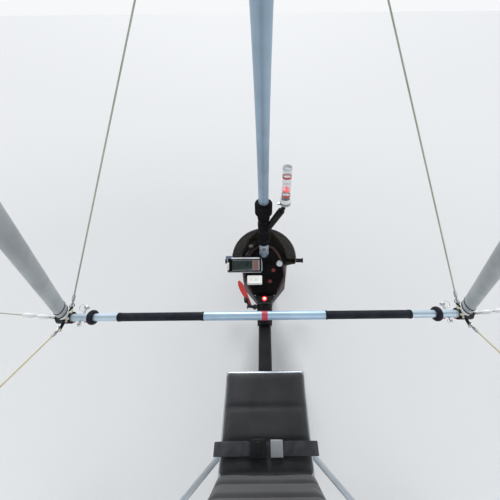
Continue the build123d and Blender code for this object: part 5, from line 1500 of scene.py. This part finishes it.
bpy.ops.object.shade_smooth_by_angle(angle=radians(50))
settle(bumper, "nose_bumper", black_plastic, "frame")
print("points round the bumper:", len(bumper_outline))

# %% [markdown]
# At each end of the control bar a quick-release pin runs through the tube from ahead. It has a disc
# head, a thin split ring and a red pull tab, so that it can be found and drawn without tools when the
# wing is folded. Next to it the stay wires meet the corner fitting: each wire ends in a steel thimble,
# which is a teardrop loop, and is clamped by oval swages. The side wires' swages wear white shrink tube.

# %% Quick-release pins, rings and tabs
BAR_AHEAD, BAR_HALF, BAR_UP = 0.2675, 0.748, -1.447
PIN_LEFT = 0.689


def at_corner(side, ahead=0.0, out=0.0, up=0.0):
    """Place near a corner of the control frame: ahead of it, outboard of it and above it."""
    return on_wing(BAR_AHEAD + ahead, side * (BAR_HALF + out), BAR_UP + up)


def ring_at(place, face, across, thick):
    """A thin wire ring whose flat side faces a direction."""
    select_none()
    bpy.ops.mesh.primitive_torus_add(
        major_radius=across / 2, minor_radius=thick / 2, major_segments=28, minor_segments=8
    )
    ring = bpy.context.object
    bpy.ops.object.shade_smooth()
    place_along(ring, place, face)
    return ring


pin_steel = drawn_metal("pin_steel", (206, 208, 210), 0.22, (20, 20, 20))
tab_red = moulded("tab_red", (184, 46, 50), 0.45)
nut_beige = moulded("nut_beige", (212, 204, 184), 0.5)
pin_profile = [
    (-0.0315, 0.0028), (-0.0300, 0.0046), (-0.0230, 0.0050), (-0.0215, 0.0040), (0.0360, 0.0040),
    (0.0366, 0.0080), (0.0380, 0.0094), (0.0420, 0.0096), (0.0446, 0.0080), (0.0455, 0.0040),
]
behind_bar = (WING_AHEAD + WING_UP * 0.8).normalized() * -0.0160
tab_turn = Matrix((LEFT, WING_AHEAD, WING_UP)).transposed() @ Matrix.Rotation(radians(-50), 3, "X")
pins, rings, tabs = [], [], []
for side in SIDES:
    pin_place = on_wing(BAR_AHEAD, side * PIN_LEFT, BAR_UP)
    pins.append(turned(pin_profile, pin_place, WING_AHEAD, sides=28, crisp=45))
    ring_place = pin_place + WING_AHEAD * 0.0395 + LEFT * side * 0.0155
    rings.append(ring_at(ring_place, (WING_UP - WING_AHEAD * 0.3).normalized(), 0.025, 0.0017))
    low_ring = pin_place - WING_AHEAD * 0.0285 - LEFT * side * 0.0050
    rings.append(ring_at(low_ring, (WING_UP + LEFT * 0.3).normalized(), 0.015, 0.0014))
    for left, length in ((0.671, 0.020), (0.7185, 0.009)):
        tab_place = on_wing(BAR_AHEAD, side * left, BAR_UP) + behind_bar
        tabs.append(rounded_block(tab_place, (length, 0.0060, 0.0036), 0.0012, tab_turn))
settle(joined(pins), "release_pins", pin_steel, "wing")
settle(joined(rings), "pin_rings", pin_steel, "wing")
settle(joined(tabs), "pull_tabs", tab_red, "wing")

# %% Wing nuts on the corner fittings
NUT_PROFILE = [(0.0, 0.0052), (0.0045, 0.0047), (0.0062, 0.0036)]
nuts = []
for side in SIDES:
    for way in (1, -1):
        hub_place = at_corner(side, 0.0205 * way * 0.55, -0.0215, 0.0165)
        facing = (WING_UP + WING_AHEAD * (0.6 * way)).normalized()
        nuts.append(turned(NUT_PROFILE, hub_place, facing, sides=20))
        nut_across = facing.cross(LEFT).normalized()
        lobe_turn = Matrix((nut_across, facing.cross(nut_across), facing)).transposed()
        for lobe in (-1, 1):
            lobe_place = hub_place + facing * 0.0055 + nut_across * (0.0085 * lobe)
            nuts.append(rounded_block(lobe_place, (0.0085, 0.0034, 0.0070), 0.0014, lobe_turn))
settle(joined(nuts), "corner_wing_nuts", nut_beige, "wing")
end_profile = [(0.0, 0.0120), (0.0020, 0.0118), (0.0034, 0.0100), (0.0034, 0.0070), (0.0020, 0.0052)]
end_caps = [
    turned(end_profile, at_corner(side, 0, 0.0290), LEFT * side, sides=32, crisp=30) for side in SIDES
]
settle(joined(end_caps), "corner_end_caps", nylon, "wing")
print("pins, rings, tabs and wing nuts:", len(pins), len(rings), len(tabs), len(nuts))

# %% [markdown]
# Every stay wire gets the same two ends, so one helper makes an end and a table lists the wires. The
# thimble is a ring drawn out to a teardrop. A swage is a turned sleeve that swells to an oval.

# %% Thimbles and swages on the stay wires
CROSS_LEFT, POST_HEAD = 2.480, 0.980
POST_TOP = on_wing(POST_AHEAD, 0, POST_HEAD)


def edge_place(side, up):
    """Place below or above the leading edge where the cross tube meets it."""
    return on_wing(edge_ahead(CROSS_LEFT), side * CROSS_LEFT, up)


STAYS = []
for side in SIDES:
    STAYS += [
        # lower end, upper end, whether its lower swages wear white shrink tube: front, rear, side, top
        (at_corner(side, 0.040), on_wing(1.300, 0, 0.023), False),
        (at_corner(side, -0.040), on_wing(-1.500, side * 0.014, 0.027), False),
        (at_corner(side, 0, 0.040), edge_place(side, -0.021), True),
        (POST_TOP, edge_place(side, 0.123), False),
    ]
STAYS += [(POST_TOP, on_wing(1.300, 0, 0.131), False), (POST_TOP, on_wing(-1.560, 0, 0.125), False)]
SWAGE = [
    (-0.0150, 0.0030), (-0.0135, 0.0046), (-0.0080, 0.0053), (0.0080, 0.0053), (0.0135, 0.0046),
    (0.0150, 0.0030),
]
WHITE_SWAGE = [
    (-0.0180, 0.0032), (-0.0155, 0.0062), (-0.0070, 0.0080), (0.0070, 0.0080), (0.0155, 0.0062),
    (0.0180, 0.0032),
]
SWAGE_PLACES, WHITE_PLACES = (0.045,), (0.036, 0.076)
LOOP_AHEAD, LOOP_ACROSS, LOOP_THICK = 0.010, 0.0165, 0.0046
LOOP_REACH, LOOP_NARROWING, LOOP_STRETCH = 0.0105, 0.55, 0.7


def thimble(end, run):
    """A teardrop loop of steel at a wire's end, standing in the wing's upright plane."""
    face = run.cross(WING_UP)
    if face.length < 0.2:
        face = run.cross(LEFT)
    loop = ring_at(end + run * LOOP_AHEAD, face.normalized(), LOOP_ACROSS, LOOP_THICK)
    make_active(loop)
    bpy.ops.object.transform_apply(location=True, rotation=True, scale=True)
    for vertex in loop.data.vertices:
        along = (vertex.co - end - run * LOOP_AHEAD).dot(run)
        if along > 0:
            middle = end + run * (LOOP_AHEAD + along)
            narrowed = (vertex.co - middle) * (1 - LOOP_NARROWING * along / LOOP_REACH)
            vertex.co = middle + narrowed + run * (along * LOOP_STRETCH)
    return loop


thimbles, plain_swages, white_swages = [], [], []
for low_end, high_end, white in STAYS:
    run = (high_end - low_end).normalized()
    for end, way in ((low_end, run), (high_end, -run)):
        thimbles.append(thimble(end, way))
        white_here = white and end == low_end
        profile, distances, target = (
            (WHITE_SWAGE, WHITE_PLACES, white_swages) if white_here else (SWAGE, SWAGE_PLACES, plain_swages)
        )
        for distance in distances:
            target.append(turned(profile, end + way * distance, way, sides=20, crisp=60))
settle(joined(thimbles), "wire_thimbles", pin_steel, "wing")
settle(joined(plain_swages), "wire_swages", machined_plate, "wing")
settle(joined(white_swages), "white_swages", white_plastic, "wing")
print("wires with ends:", len(STAYS))

# %% [markdown]
# The grips are foam tubes pulled over the bar, and a soft rubber ring further out is each one's stop.
# Narrow bands of black tape finish the ends of each grip and of the silver sleeve. The extruded
# uprights have a plastic collar where they leave their end plugs.

# %% Grips, rings and tape on the bar, and collars on the uprights
GRIP = [(0.0, 0.0146), (0.001, 0.0156), (0.316, 0.0156), (0.317, 0.0146)]
GRIP_RING = [
    (-0.0095, 0.0148), (-0.0092, 0.0215), (-0.0078, 0.0248), (-0.0045, 0.0268), (0.0, 0.0276),
    (0.0045, 0.0268), (0.0078, 0.0248), (0.0092, 0.0215), (0.0095, 0.0148),
]
grips = [
    turned(profile, on_wing(BAR_AHEAD, side * left, BAR_UP), LEFT * side, sides=48, crisp=50)
    for side in SIDES for profile, left in ((GRIP, 0.230), (GRIP_RING, 0.648))
]
settle(joined(grips), "grips_and_rings", grip_foam, "wing")
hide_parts("bar_grips")
TAPE = collar_profile(0.0042, 0.01675, 0.0003, 0.0006)
tape_bands = [
    turned(TAPE, on_wing(BAR_AHEAD, side * left, BAR_UP), LEFT * side, sides=40, wall=0.0012)
    for side in SIDES for left in (0.2315, 0.5455)
]
settle(joined(tape_bands), "grip_tape", black_plastic, "wing")
collars = []
for side in SIDES:
    corner = at_corner(side)
    run = (on_wing(POST_AHEAD, side * 0.048, 0.024) - corner).normalized()
    across = (WING_AHEAD - run * WING_AHEAD.dot(run)).normalized()
    turn = Matrix((across, run.cross(across), run)).transposed().to_4x4()
    for along, half_chord, half_thick in ((0.076, 0.0258, 0.0146), (0.118, 0.0252, 0.0141)):
        collar = turned(collar_profile(0.8, 1.0, 0.2, 0.04), ORIGIN, UP, 48, wall=0.035)
        size = Matrix.Diagonal((half_chord, half_thick, 0.0036, 1.0))
        collar.matrix_world = Matrix.Translation(corner + run * along) @ turn @ size
        collars.append(collar)
settle(joined(collars), "upright_collars", black_plastic, "wing")
print("tape bands and collars:", len(tape_bands), len(collars))

# %% [markdown]
# The tyres have a road tread: four grooves run round each of them, the shoulder ribs are cut across
# into blocks, and the two inner ribs have narrow notches. A tyre is a ring, so its outline is laid as a
# closed loop of points and spun about the axle. The spin's rows are then moved round a little, so that
# they stand where a block starts and ends, and the points in the cuts are sunk.

# %% Spin the tyres
TREAD_PITCHES = 36
PITCH_ROWS = (0.00, 0.04, 0.20, 0.24, 0.50, 0.54, 0.64, 0.68)
SHOULDER_CUT, RIB_CUT = (1, 2), (5, 6)
TYRE_WALL = (
    # share of the wall's height, share of the half width, from the rim up to the tread
    (0.00, 0.60), (0.02, 0.67), (0.10, 0.77), (0.20, 0.865), (0.33, 0.95), (0.46, 0.99), (0.49, 1.00),
    (0.53, 0.995), (0.60, 0.975), (0.63, 0.985), (0.66, 0.965), (0.76, 0.915),
)
TREAD = (
    # share of the half width, and what the place is: land, groove, shoulder block or inner rib
    (0.845, "shoulder"), (0.800, "shoulder"), (0.660, "shoulder"), (0.635, "groove"), (0.555, "groove"),
    (0.530, "rib"), (0.320, "rib"), (0.295, "groove"), (0.215, "groove"), (0.190, "land"), (0.0, "land"),
)
GROOVE_DEPTH, CUT_DEPTH = 0.060, 0.045
TYRE_HALF = 0.0425


def crown_rise(out):
    """Height of the tread, as a share of the wall, at a share of the half width."""
    if out <= 0.5:
        return 1 - 0.12 * out * out
    return 0.97 - 0.12 * (out - 0.5) - 0.85 * (out - 0.5) ** 2


def tyre_outline():
    """Shares of height and half width round the whole tyre, each with the kind of its place."""
    right = [(rise, out, "wall") for rise, out in TYRE_WALL]
    for out, kind in TREAD:
        drop = GROOVE_DEPTH if kind == "groove" else 0.0
        right.append((crown_rise(out) - drop, out, kind))
    left = [(rise, -out, kind) for rise, out, kind in reversed(right[:-1])]
    return right + left


OUTLINE = tyre_outline()


def spun_tyre(name, node_name, centre, radius, rim_radius, body):
    """One tyre with its tread, about an axle along Y."""
    wall = radius - rim_radius
    rings = [(rim_radius + wall * rise, TYRE_HALF * out, kind) for rise, out, kind in OUTLINE]
    select_none()
    bpy.ops.mesh.primitive_circle_add(vertices=len(rings), radius=1)
    tyre = bpy.context.object
    for vertex, (reach, across, kind) in zip(tyre.data.vertices, rings):
        vertex.co = (0, across, reach)
    steps = TREAD_PITCHES * len(PITCH_ROWS)
    edit_mode()
    bpy.ops.mesh.select_all(action="SELECT")
    bpy.ops.mesh.spin(steps=steps, angle=2 * pi, center=(0, 0, 0), axis=(0, 1, 0))
    bpy.ops.mesh.select_all(action="SELECT")
    bpy.ops.mesh.remove_doubles(threshold=0.00002)
    bpy.ops.mesh.select_all(action="SELECT")
    bpy.ops.mesh.normals_make_consistent(inside=False)
    object_mode()
    for vertex in tyre.data.vertices:
        reach, across = sqrt(vertex.co.x**2 + vertex.co.z**2), vertex.co.y
        nearest = min(rings, key=lambda ring: abs(ring[0] - reach) + abs(ring[1] - across))
        around = atan2(vertex.co.x, vertex.co.z) % (2 * pi)
        row = round(around / (2 * pi) * steps) % steps
        half_pitch = len(PITCH_ROWS) // 2 if across < 0 else 0
        pitch, place = divmod(row + half_pitch, len(PITCH_ROWS))
        back_by = PITCH_ROWS[half_pitch]
        turned_by = (pitch + PITCH_ROWS[place] - back_by) / TREAD_PITCHES * 2 * pi
        if nearest[2] == "shoulder" and place in SHOULDER_CUT:
            reach -= wall * CUT_DEPTH
        elif nearest[2] == "rib" and place in RIB_CUT:
            reach -= wall * CUT_DEPTH * 0.7
        vertex.co.x, vertex.co.z = reach * sin(turned_by), reach * cos(turned_by)
    make_active(tyre)
    bpy.ops.object.shade_smooth_by_angle(angle=radians(28))
    tyre.location = centre
    settle(tyre, name, tyre_rubber, body)
    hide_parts(node_name)
    return tyre


MAIN_AXLES = [on_trike(-0.430, side * 0.735, 0.175) for side in SIDES]
WHEELS = (
    # name, tyre's node, body, middle, radius, rim radius, place of the rim's bolts, half the hub's width
    ("nose", "nose_tyre", "nose_wheel", NOSE_AXLE, 0.150, 0.080, 0.046, 0.0502),
    ("main_left", "main_tyre_left", "wheel_left", MAIN_AXLES[0], 0.175, 0.096, 0.054, 0.0462),
    ("main_right", "main_tyre_right", "wheel_right", MAIN_AXLES[1], 0.175, 0.096, 0.054, 0.0462),
)
for wheel_name, node_name, body, centre, radius, rim_radius, bolt_circle, hub_reach in WHEELS:
    tyre = spun_tyre("tyre_" + wheel_name, node_name, centre, radius, rim_radius, body)
    print(wheel_name, "tyre faces:", len(tyre.data.polygons))

# %% [markdown]
# The rims are two cast halves, held together by five bolts between the round holes. Each has a valve
# with a cap, and a turned hub cap with a grease lip. They turn with their wheel.

# %% Rim bolts, valves and hub caps
VALVE = [
    (0.0, 0.0052), (0.008, 0.0048), (0.010, 0.0034), (0.018, 0.0034), (0.0185, 0.0042), (0.027, 0.0042),
    (0.029, 0.0030),
]
HUB_RING = [(-0.004, 0.0285), (-0.001, 0.0292), (0.0, 0.0280), (0.0008, 0.0240), (0.0004, 0.0200)]
VALVE_RUN = Vector((0, 0.94, -0.34))
for wheel_name, node_name, body, centre, radius, rim_radius, bolt_circle, hub_reach in WHEELS:
    bolts = [
        (centre + Vector((ahead, side * 0.006, up)), LEFT * side)
        for ahead, up in round_places(5, bolt_circle, 36) for side in (-1, 1)
    ]
    heads_at(bolts, 0.0115, 0.0058, "rim_bolts_" + wheel_name, body)
    valve_foot = centre + Vector((0, 0.010, rim_radius - 0.0145))
    turned_piece("valve_" + wheel_name, VALVE, valve_foot, VALVE_RUN, black_plastic, body, "tyre", sides=20)
    caps = [
        turned(HUB_RING, centre + LEFT * side * (hub_reach - 0.0006), LEFT * side, sides=40, wall=0.0018)
        for side in (-1, 1)
    ]
    settle(joined(caps), "hub_rings_" + wheel_name, zinc_steel, body)
print("wheels are finished:", len(WHEELS))

# %% [markdown]
# Bolts hold the machine together, and their heads give a viewer its scale. A table lists each group:
# its size, the body that it moves with, and the places of its heads with the way that each one faces.

# %% Bolt heads on the frame, the fork and the wing
NOSE_BOLTS = ((1.2635, 0.062), (1.2470, 0.088), (1.308, 0.018))


def both_sides(places, at=on_trike):
    """Places on both sides of the middle, each given as ahead, left and up, facing outwards."""
    return [(at(ahead, side * left, up), LEFT * side) for side in SIDES for ahead, left, up in places]


def wing_heads(places, up, facing_up):
    """Places on the wing on both sides at one height, facing up or down along the wing's own upright."""
    return [
        (on_wing(ahead, side * left, up), WING_UP * facing_up) for side in SIDES for ahead, left in places
    ]


CROWN_HEADS = [
    (NOSE_AXLE + FORK_UP * 0.190 + FORK_AHEAD * ahead + LEFT * side * 0.056, FORK_UP)
    for side in SIDES for ahead in (-0.012, 0.012)
]
APEX_PLACES = [
    (ahead, left, up) for ahead in (0.077, 0.113) for left, up in ((0.032, 0.052), (0.028, 0.088))
]
BOLTS = (
    # name, body, width across, height, places with the way that each faces
    ("mast_head_bolts", "frame", 0.016, 0.008, both_sides(
        [(-0.0580, 0.034, 1.960), (-0.0355, 0.034, 2.090), (0.110, 0.034, 1.945), (0.066, 0.034, 1.988)]
    )),
    ("base_tube_bolts", "frame", 0.016, 0.008, both_sides(
        [(-0.372, 0.035, 0.305), (-0.350, 0.035, 0.280), (0.930, 0.035, 0.372), (0.985, 0.035, 0.376)]
    )),
    ("mount_bolts", "frame", 0.013, 0.0065, both_sides(
        [(-0.450, 0.034, 0.600), (-0.560, 0.034, 0.600), (-0.330, 0.034, 0.636), (-0.345, 0.034, 0.560)]
    )),
    ("leg_foot_bolts", "frame", 0.013, 0.0065, both_sides(
        [(-0.452, 0.6632, 0.226), (-0.408, 0.6632, 0.226), (-0.430, 0.6632, 0.148)]
    )),
    ("stay_bolts", "frame", 0.011, 0.0055, both_sides([(0.197, 0.041, 0.318), (0.233, 0.041, 0.318)])),
    ("nose_axle_nuts", "fork", 0.024, 0.0088,
     [(NOSE_AXLE + LEFT * side * 0.0672, LEFT * side) for side in SIDES]),
    ("crown_bolts", "fork", 0.011, 0.0055, CROWN_HEADS),
    ("nose_plate_bolts", "wing", 0.014, 0.007,
     wing_heads(NOSE_BOLTS, 0.1042, 1) + wing_heads(NOSE_BOLTS, 0.0460, -1)),
    ("cross_tube_bolts", "wing", 0.014, 0.007,
     wing_heads([(-0.104, 0.024)], 0.148, 1) + wing_heads([(-0.104, 0.024)], 0.108, -1)),
    ("apex_bolts", "wing", 0.011, 0.0055, both_sides(APEX_PLACES, on_wing)),
    ("seat_bolts", "frame", 0.011, 0.0055, both_sides([(0.040, 0.030, 0.428), (0.260, 0.030, 0.428)])),
)
for name, body, across, height, places in BOLTS:
    heads_at(places, across, height, name, body)
print("groups of bolt heads:", len(BOLTS))

# %% [markdown]
# The engine's small parts: a rubber boot on the spark plug, a starter handle, spring-clip clamps on the
# carburettor's rubber, a knurled choke knob, and pleats round the filter. Two webbing straps lie in the
# tank's grooves and hold it down. The exhaust header is clamped with a slotted band.

# %% Engine details
ENGINE_AHEAD, CRANK_UP, SHAFT_UP, BANK_LEFT = -0.520, 0.700, 0.800, 0.034
PLUG_FOOT = on_trike(ENGINE_AHEAD, 0, 0.912)
boot_rubber = moulded("boot_rubber", (24, 24, 25), 0.5)
BOOT = [
    (0.004, 0.0118), (0.006, 0.0132), (0.016, 0.0132), (0.020, 0.0112), (0.036, 0.0105), (0.041, 0.0088),
    (0.0425, 0.0050),
]
turned_piece("plug_boot", BOOT, PLUG_FOOT, UP, boot_rubber, "frame", "foam_black", crisp=40)
CARB = on_trike(ENGINE_AHEAD, 0, 0.830)
CLAMP = collar_profile(0.0040, 0.0258, 0.0002, 0.0033)
clamp_rings = []
for left in (-0.0655, -0.1230):
    clamp_place = CARB + LEFT * left
    clamp_rings.append(turned(CLAMP, clamp_place, LEFT, sides=40, wall=0.001))
    clamp_rings.append(rounded_block(clamp_place + UP * 0.0290, (0.014, 0.0075, 0.0085), 0.0015))
settle(joined(clamp_rings), "carburettor_clamps", zinc_steel, "frame")
choke_place = on_trike(ENGINE_AHEAD, -0.094, 0.890)
CHOKE = [(0.0, 0.0120), (0.002, 0.0140), (0.009, 0.0140), (0.011, 0.0120), (0.0112, 0.0050)]
turned_piece("choke_knob", CHOKE, choke_place, UP, black_plastic, "frame", "engine_cast", sides=18, crisp=16)
brass = drawn_metal("brass", (188, 156, 92), 0.35, (20, 20, 20))
IDLE_JET = [(0.0, 0.0040), (0.010, 0.0040), (0.012, 0.0030)]
MAIN_JET = [(0.0, 0.0052), (0.007, 0.0052), (0.008, 0.0042), (0.020, 0.0034), (0.021, 0.0026)]
jets = [
    turned(IDLE_JET, on_trike(-0.498, -0.086, 0.824), AHEAD, sides=16),
    turned(MAIN_JET, on_trike(-0.542, -0.094, 0.838), -AHEAD, sides=16),
]
settle(joined(jets), "carburettor_jets", brass, "frame")
filter_low, filter_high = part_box("air_filter")
PLEATS, PLEAT_DEPTH = 40, 0.0030
FILTER_END = CARB - LEFT * 0.128
FILTER = [(0.0, 0.0325), (0.0095, 0.0440), (0.012, 0.0446), (0.074, 0.0364), (0.0775, 0.0340)]
NEAR_RIM = [(0.0, 0.0300), (0.0, 0.0345), (0.0030, 0.0368), (0.0050, 0.0350)]
FAR_RIM = [
    (0.0755, 0.0360), (0.0765, 0.0380), (0.0820, 0.0380), (0.0838, 0.0360), (0.0842, 0.0250),
    (0.0825, 0.0140),
]
pleated = turned(FILTER, FILTER_END, -LEFT, sides=PLEATS * 2, crisp=20)
for vertex in pleated.data.vertices:
    reach = sqrt(vertex.co.x**2 + vertex.co.y**2)
    place = round((atan2(vertex.co.y, vertex.co.x) % (2 * pi)) / (2 * pi) * PLEATS * 2)
    if place % 2 and 0.005 < vertex.co.z < 0.075:
        shrink = (reach - PLEAT_DEPTH) / reach
        vertex.co.x, vertex.co.y = vertex.co.x * shrink, vertex.co.y * shrink
rims = [turned(NEAR_RIM, CARB - LEFT * 0.1275, -LEFT, 48), turned(FAR_RIM, FILTER_END, -LEFT, 48)]
settle(pleated, "filter_pleats", filter_red, "frame")
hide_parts("air_filter")
settle(joined(rims), "filter_rims", black_plastic, "frame")
print("pleats over", round(filter_high.y - filter_low.y, 3), "m of filter:", PLEATS)
header_place = on_trike(ENGINE_AHEAD, 0.0565, 0.822)
header_band = turned(collar_profile(0.0050, 0.0294, 0.0002, 0.0012), header_place, LEFT, sides=40, wall=0.001)
band_lug = rounded_block(on_trike(ENGINE_AHEAD, 0.0565, 0.8550), (0.018, 0.010, 0.012), 0.002)
can_bands = [
    turned(collar_profile(0.0060, 0.0492), on_trike(ENGINE_AHEAD, 0.162, up), UP, sides=56, wall=0.001)
    for up in (0.640, 0.700)
]
settle(joined([header_band, band_lug] + can_bands), "exhaust_bands", zinc_steel, "frame")
HANDLE = [
    (0.0, 0.0080), (0.002, 0.0105), (0.009, 0.0105), (0.0105, 0.0070), (0.014, 0.0062), (0.015, 0.0070),
    (0.019, 0.0072), (0.0205, 0.0050),
]
handle_place = on_trike(-0.4365, BANK_LEFT, 0.7300)
turned_piece("starter_handle", HANDLE, handle_place, AHEAD, boot_rubber, "frame", "engine_cast", sides=24)


def case_heads(ahead, middle_up, places, facing):
    """Bolt places round a shaft of the engine at a station."""
    return [(on_trike(ahead, left, middle_up + up), facing) for left, up in places]


engine_heads = case_heads(-0.512, CRANK_UP, round_places(6, 0.072), AHEAD)
engine_heads += case_heads(-0.4365, CRANK_UP, round_places(8, 0.0535, 22.5), AHEAD)
heads_at(engine_heads, 0.0090, 0.0055, "crankcase_bolts", "frame")
lobe = round_places(6, 0.053, 30)
gear_heads = case_heads(-0.628, CRANK_UP, lobe[3:], -AHEAD) + case_heads(-0.628, SHAFT_UP, lobe[:3], -AHEAD)
heads_at(gear_heads, 0.0100, 0.0060, "gearbox_bolts", "frame")
stud_heads = [
    (on_trike(ENGINE_AHEAD + ahead, left, 0.9100), UP)
    for ahead in (-BANK_LEFT, BANK_LEFT) for left in (-BANK_LEFT, BANK_LEFT)
]
heads_at(stud_heads, 0.0120, 0.0075, "cylinder_nuts", "frame")
print("engine details are on")

# %% [markdown]
# The tank's straps are flat loops. A plane with its four corners rounded gives the loop's outline, the
# face is taken out, the outline is extruded to the strap's width and Solidify gives its thickness.

# %% Tank straps
BASE_AHEAD, BASE_RISE = 1.662, 0.105
BASE_RUN = Vector((BASE_AHEAD, 0.0, BASE_RISE)).normalized()
TANK_REAR = on_trike(-0.300, 0, 0.277 + 0.260 * BASE_RISE / BASE_AHEAD + 0.040 + 0.095)
TANK_LENGTH, STRAP_SHARES = 0.172, (0.33, 0.69)
LOOP_SIZE, LOOP_CORNER, LOOP_WIDTH = (0.2925, 0.1825, 1), 0.030, 0.0145
tank_turn = Matrix((LEFT, BASE_RUN.cross(LEFT), BASE_RUN)).transposed()
tank_straps = []
for share in STRAP_SHARES:
    select_none()
    bpy.ops.mesh.primitive_plane_add(size=1)
    loop = bpy.context.object
    loop.scale = LOOP_SIZE
    bpy.ops.object.transform_apply(location=False, rotation=False, scale=True)
    edit_mode()
    bpy.ops.mesh.select_all(action="SELECT")
    bpy.ops.mesh.bevel(offset=LOOP_CORNER, segments=8, affect="VERTICES")
    bpy.ops.mesh.select_all(action="SELECT")
    bpy.ops.mesh.delete(type="ONLY_FACE")
    bpy.ops.mesh.select_all(action="SELECT")
    bpy.ops.mesh.extrude_region_move(TRANSFORM_OT_translate={"value": (0, 0, LOOP_WIDTH)})
    bpy.ops.mesh.select_all(action="SELECT")
    bpy.ops.mesh.normals_make_consistent(inside=False)
    object_mode()
    webbing_wall = loop.modifiers.new("wall", "SOLIDIFY")
    webbing_wall.thickness = STRAP_THICK
    webbing_wall.offset = 0
    apply_modifiers(loop)
    bpy.ops.object.shade_smooth_by_angle(angle=radians(35))
    loop.location = TANK_REAR + BASE_RUN * (TANK_LENGTH * share - LOOP_WIDTH / 2)
    loop.rotation_euler = tank_turn.to_euler()
    tank_straps.append(loop)
settle(joined(tank_straps), "tank_straps", webbing, "frame")
strap_buckles = []
for share in STRAP_SHARES:
    buckle_place = TANK_REAR + BASE_RUN * (TANK_LENGTH * share) + Vector((0, -0.030, 0.0935))
    strap_buckles.append(rounded_block(buckle_place, (0.026, 0.040, 0.0055), 0.002))
settle(joined(strap_buckles), "tank_buckles", black_plastic, "frame")
print("tank straps:", len(tank_straps))

# %% [markdown]
# The propeller blades are moulded carbon with a clear skin: a fine twill under gloss, and pale tips so
# that the turning disc can be seen. How far a point is from the shaft decides where the tip starts.

# %% The propeller's finish
TIP_REACH = 0.545
blade_skin = moulded("blade_skin", (20, 20, 22), 0.24, 0.00002, 400.0)
adjust(blade_skin, "Coat Weight", 0.5)
adjust(blade_skin, "Coat Roughness", 0.08)
twill = weave_of(blade_skin, 150.0, (radians(45), 0, 0))
twill_ramp = shade_by(blade_skin, twill, seen_as(15, 15, 17), seen_as(31, 32, 35), 0.2, 0.8)
blade_place = add_node(blade_skin, "TexCoord")
blade_parts = add_node(blade_skin, "SeparateXYZ")
join_sockets(blade_skin, blade_place.outputs["Object"], blade_parts.inputs["Vector"])
above_shaft = calculate(blade_skin, "SUBTRACT", blade_parts.outputs["Z"], SHAFT_UP)
reach_square = calculate(
    blade_skin, "ADD", calculate(blade_skin, "POWER", blade_parts.outputs["Y"], 2.0),
    calculate(blade_skin, "MULTIPLY", above_shaft, above_shaft),
)
past_tip = calculate(blade_skin, "GREATER_THAN", reach_square, TIP_REACH**2)
laid_over(blade_skin, twill_ramp.outputs["Color"], seen_as(228, 226, 214), past_tip, 1.0)
blades = frame["nodes"]["propeller_blades"]
blades.data.materials.clear()
blades.data.materials.append(blade_skin)
hub_heads = case_heads(-0.7490, SHAFT_UP, round_places(6, 0.034), -AHEAD)
heads_at(hub_heads, 0.0100, 0.0060, "hub_bolts", "propeller")
SPINNER = [(0.0, 0.0180), (0.004, 0.0180), (0.009, 0.0140), (0.012, 0.0080)]
hub_place = on_trike(-0.7420, 0, SHAFT_UP)
turned_piece("hub_cap", SPINNER, hub_place, -AHEAD, casing_silver, "propeller", "plate_alloy", sides=36)
print("propeller finished")

# %% [markdown]
# At the sail's rear edge each batten ends in a black plastic tip that tensions it, with its lever
# turned under the cloth. The tubes of the wing are closed with moulded caps, and the king post has
# a turned cap.

# %% Batten tips and tube caps
TIP_SIZE, TIP_LEVER = (0.046, 0.017, 0.0085), (0.030, 0.010, 0.005)
tips = []
for number in range(-9, 10):
    left = number * BATTEN_GAP
    if abs(left) > HALF_SPAN - 0.1:
        continue
    rear, before = sail_point(left, 1.0), sail_point(left, 0.98)
    run = (rear - before).normalized()
    across = run.cross(UP).normalized()
    tip_turn = Matrix((run, across, run.cross(across))).transposed()
    tips.append(rounded_block(rear + run * 0.006, TIP_SIZE, 0.0028, tip_turn))
    tips.append(rounded_block(rear - run * 0.012 - UP * 0.0065, TIP_LEVER, 0.0018, tip_turn))
settle(joined(tips), "batten_tips", black_plastic, "wing")
POST_CAP = [(-0.030, 0.0140), (-0.026, 0.0152), (0.0, 0.0152), (0.005, 0.0125), (0.007, 0.0070)]
KEEL_CAP = [(-0.012, 0.0228), (-0.010, 0.0236), (0.0, 0.0236), (0.004, 0.0205), (0.005, 0.0120)]
EDGE_CAP = [(-0.014, 0.0262), (-0.012, 0.0268), (0.0, 0.0268), (0.004, 0.0240), (0.005, 0.0150)]
EDGE_END = 4.800
caps = [
    turned(POST_CAP, on_wing(POST_AHEAD, 0, 0.986), WING_UP, sides=36),
    turned(KEEL_CAP, on_wing(-1.650, 0, KEEL_UP), -WING_AHEAD, sides=36),
]
for side in SIDES:
    tip_place = on_wing(edge_ahead(EDGE_END), side * EDGE_END, KEEL_UP)
    tip_run = (tip_place - on_wing(edge_ahead(4.7), side * 4.7, KEEL_UP)).normalized()
    caps.append(turned(EDGE_CAP, tip_place, tip_run, sides=40))
settle(joined(caps), "tube_caps", black_plastic, "wing")
print("batten tips and caps:", len(tips), len(caps))
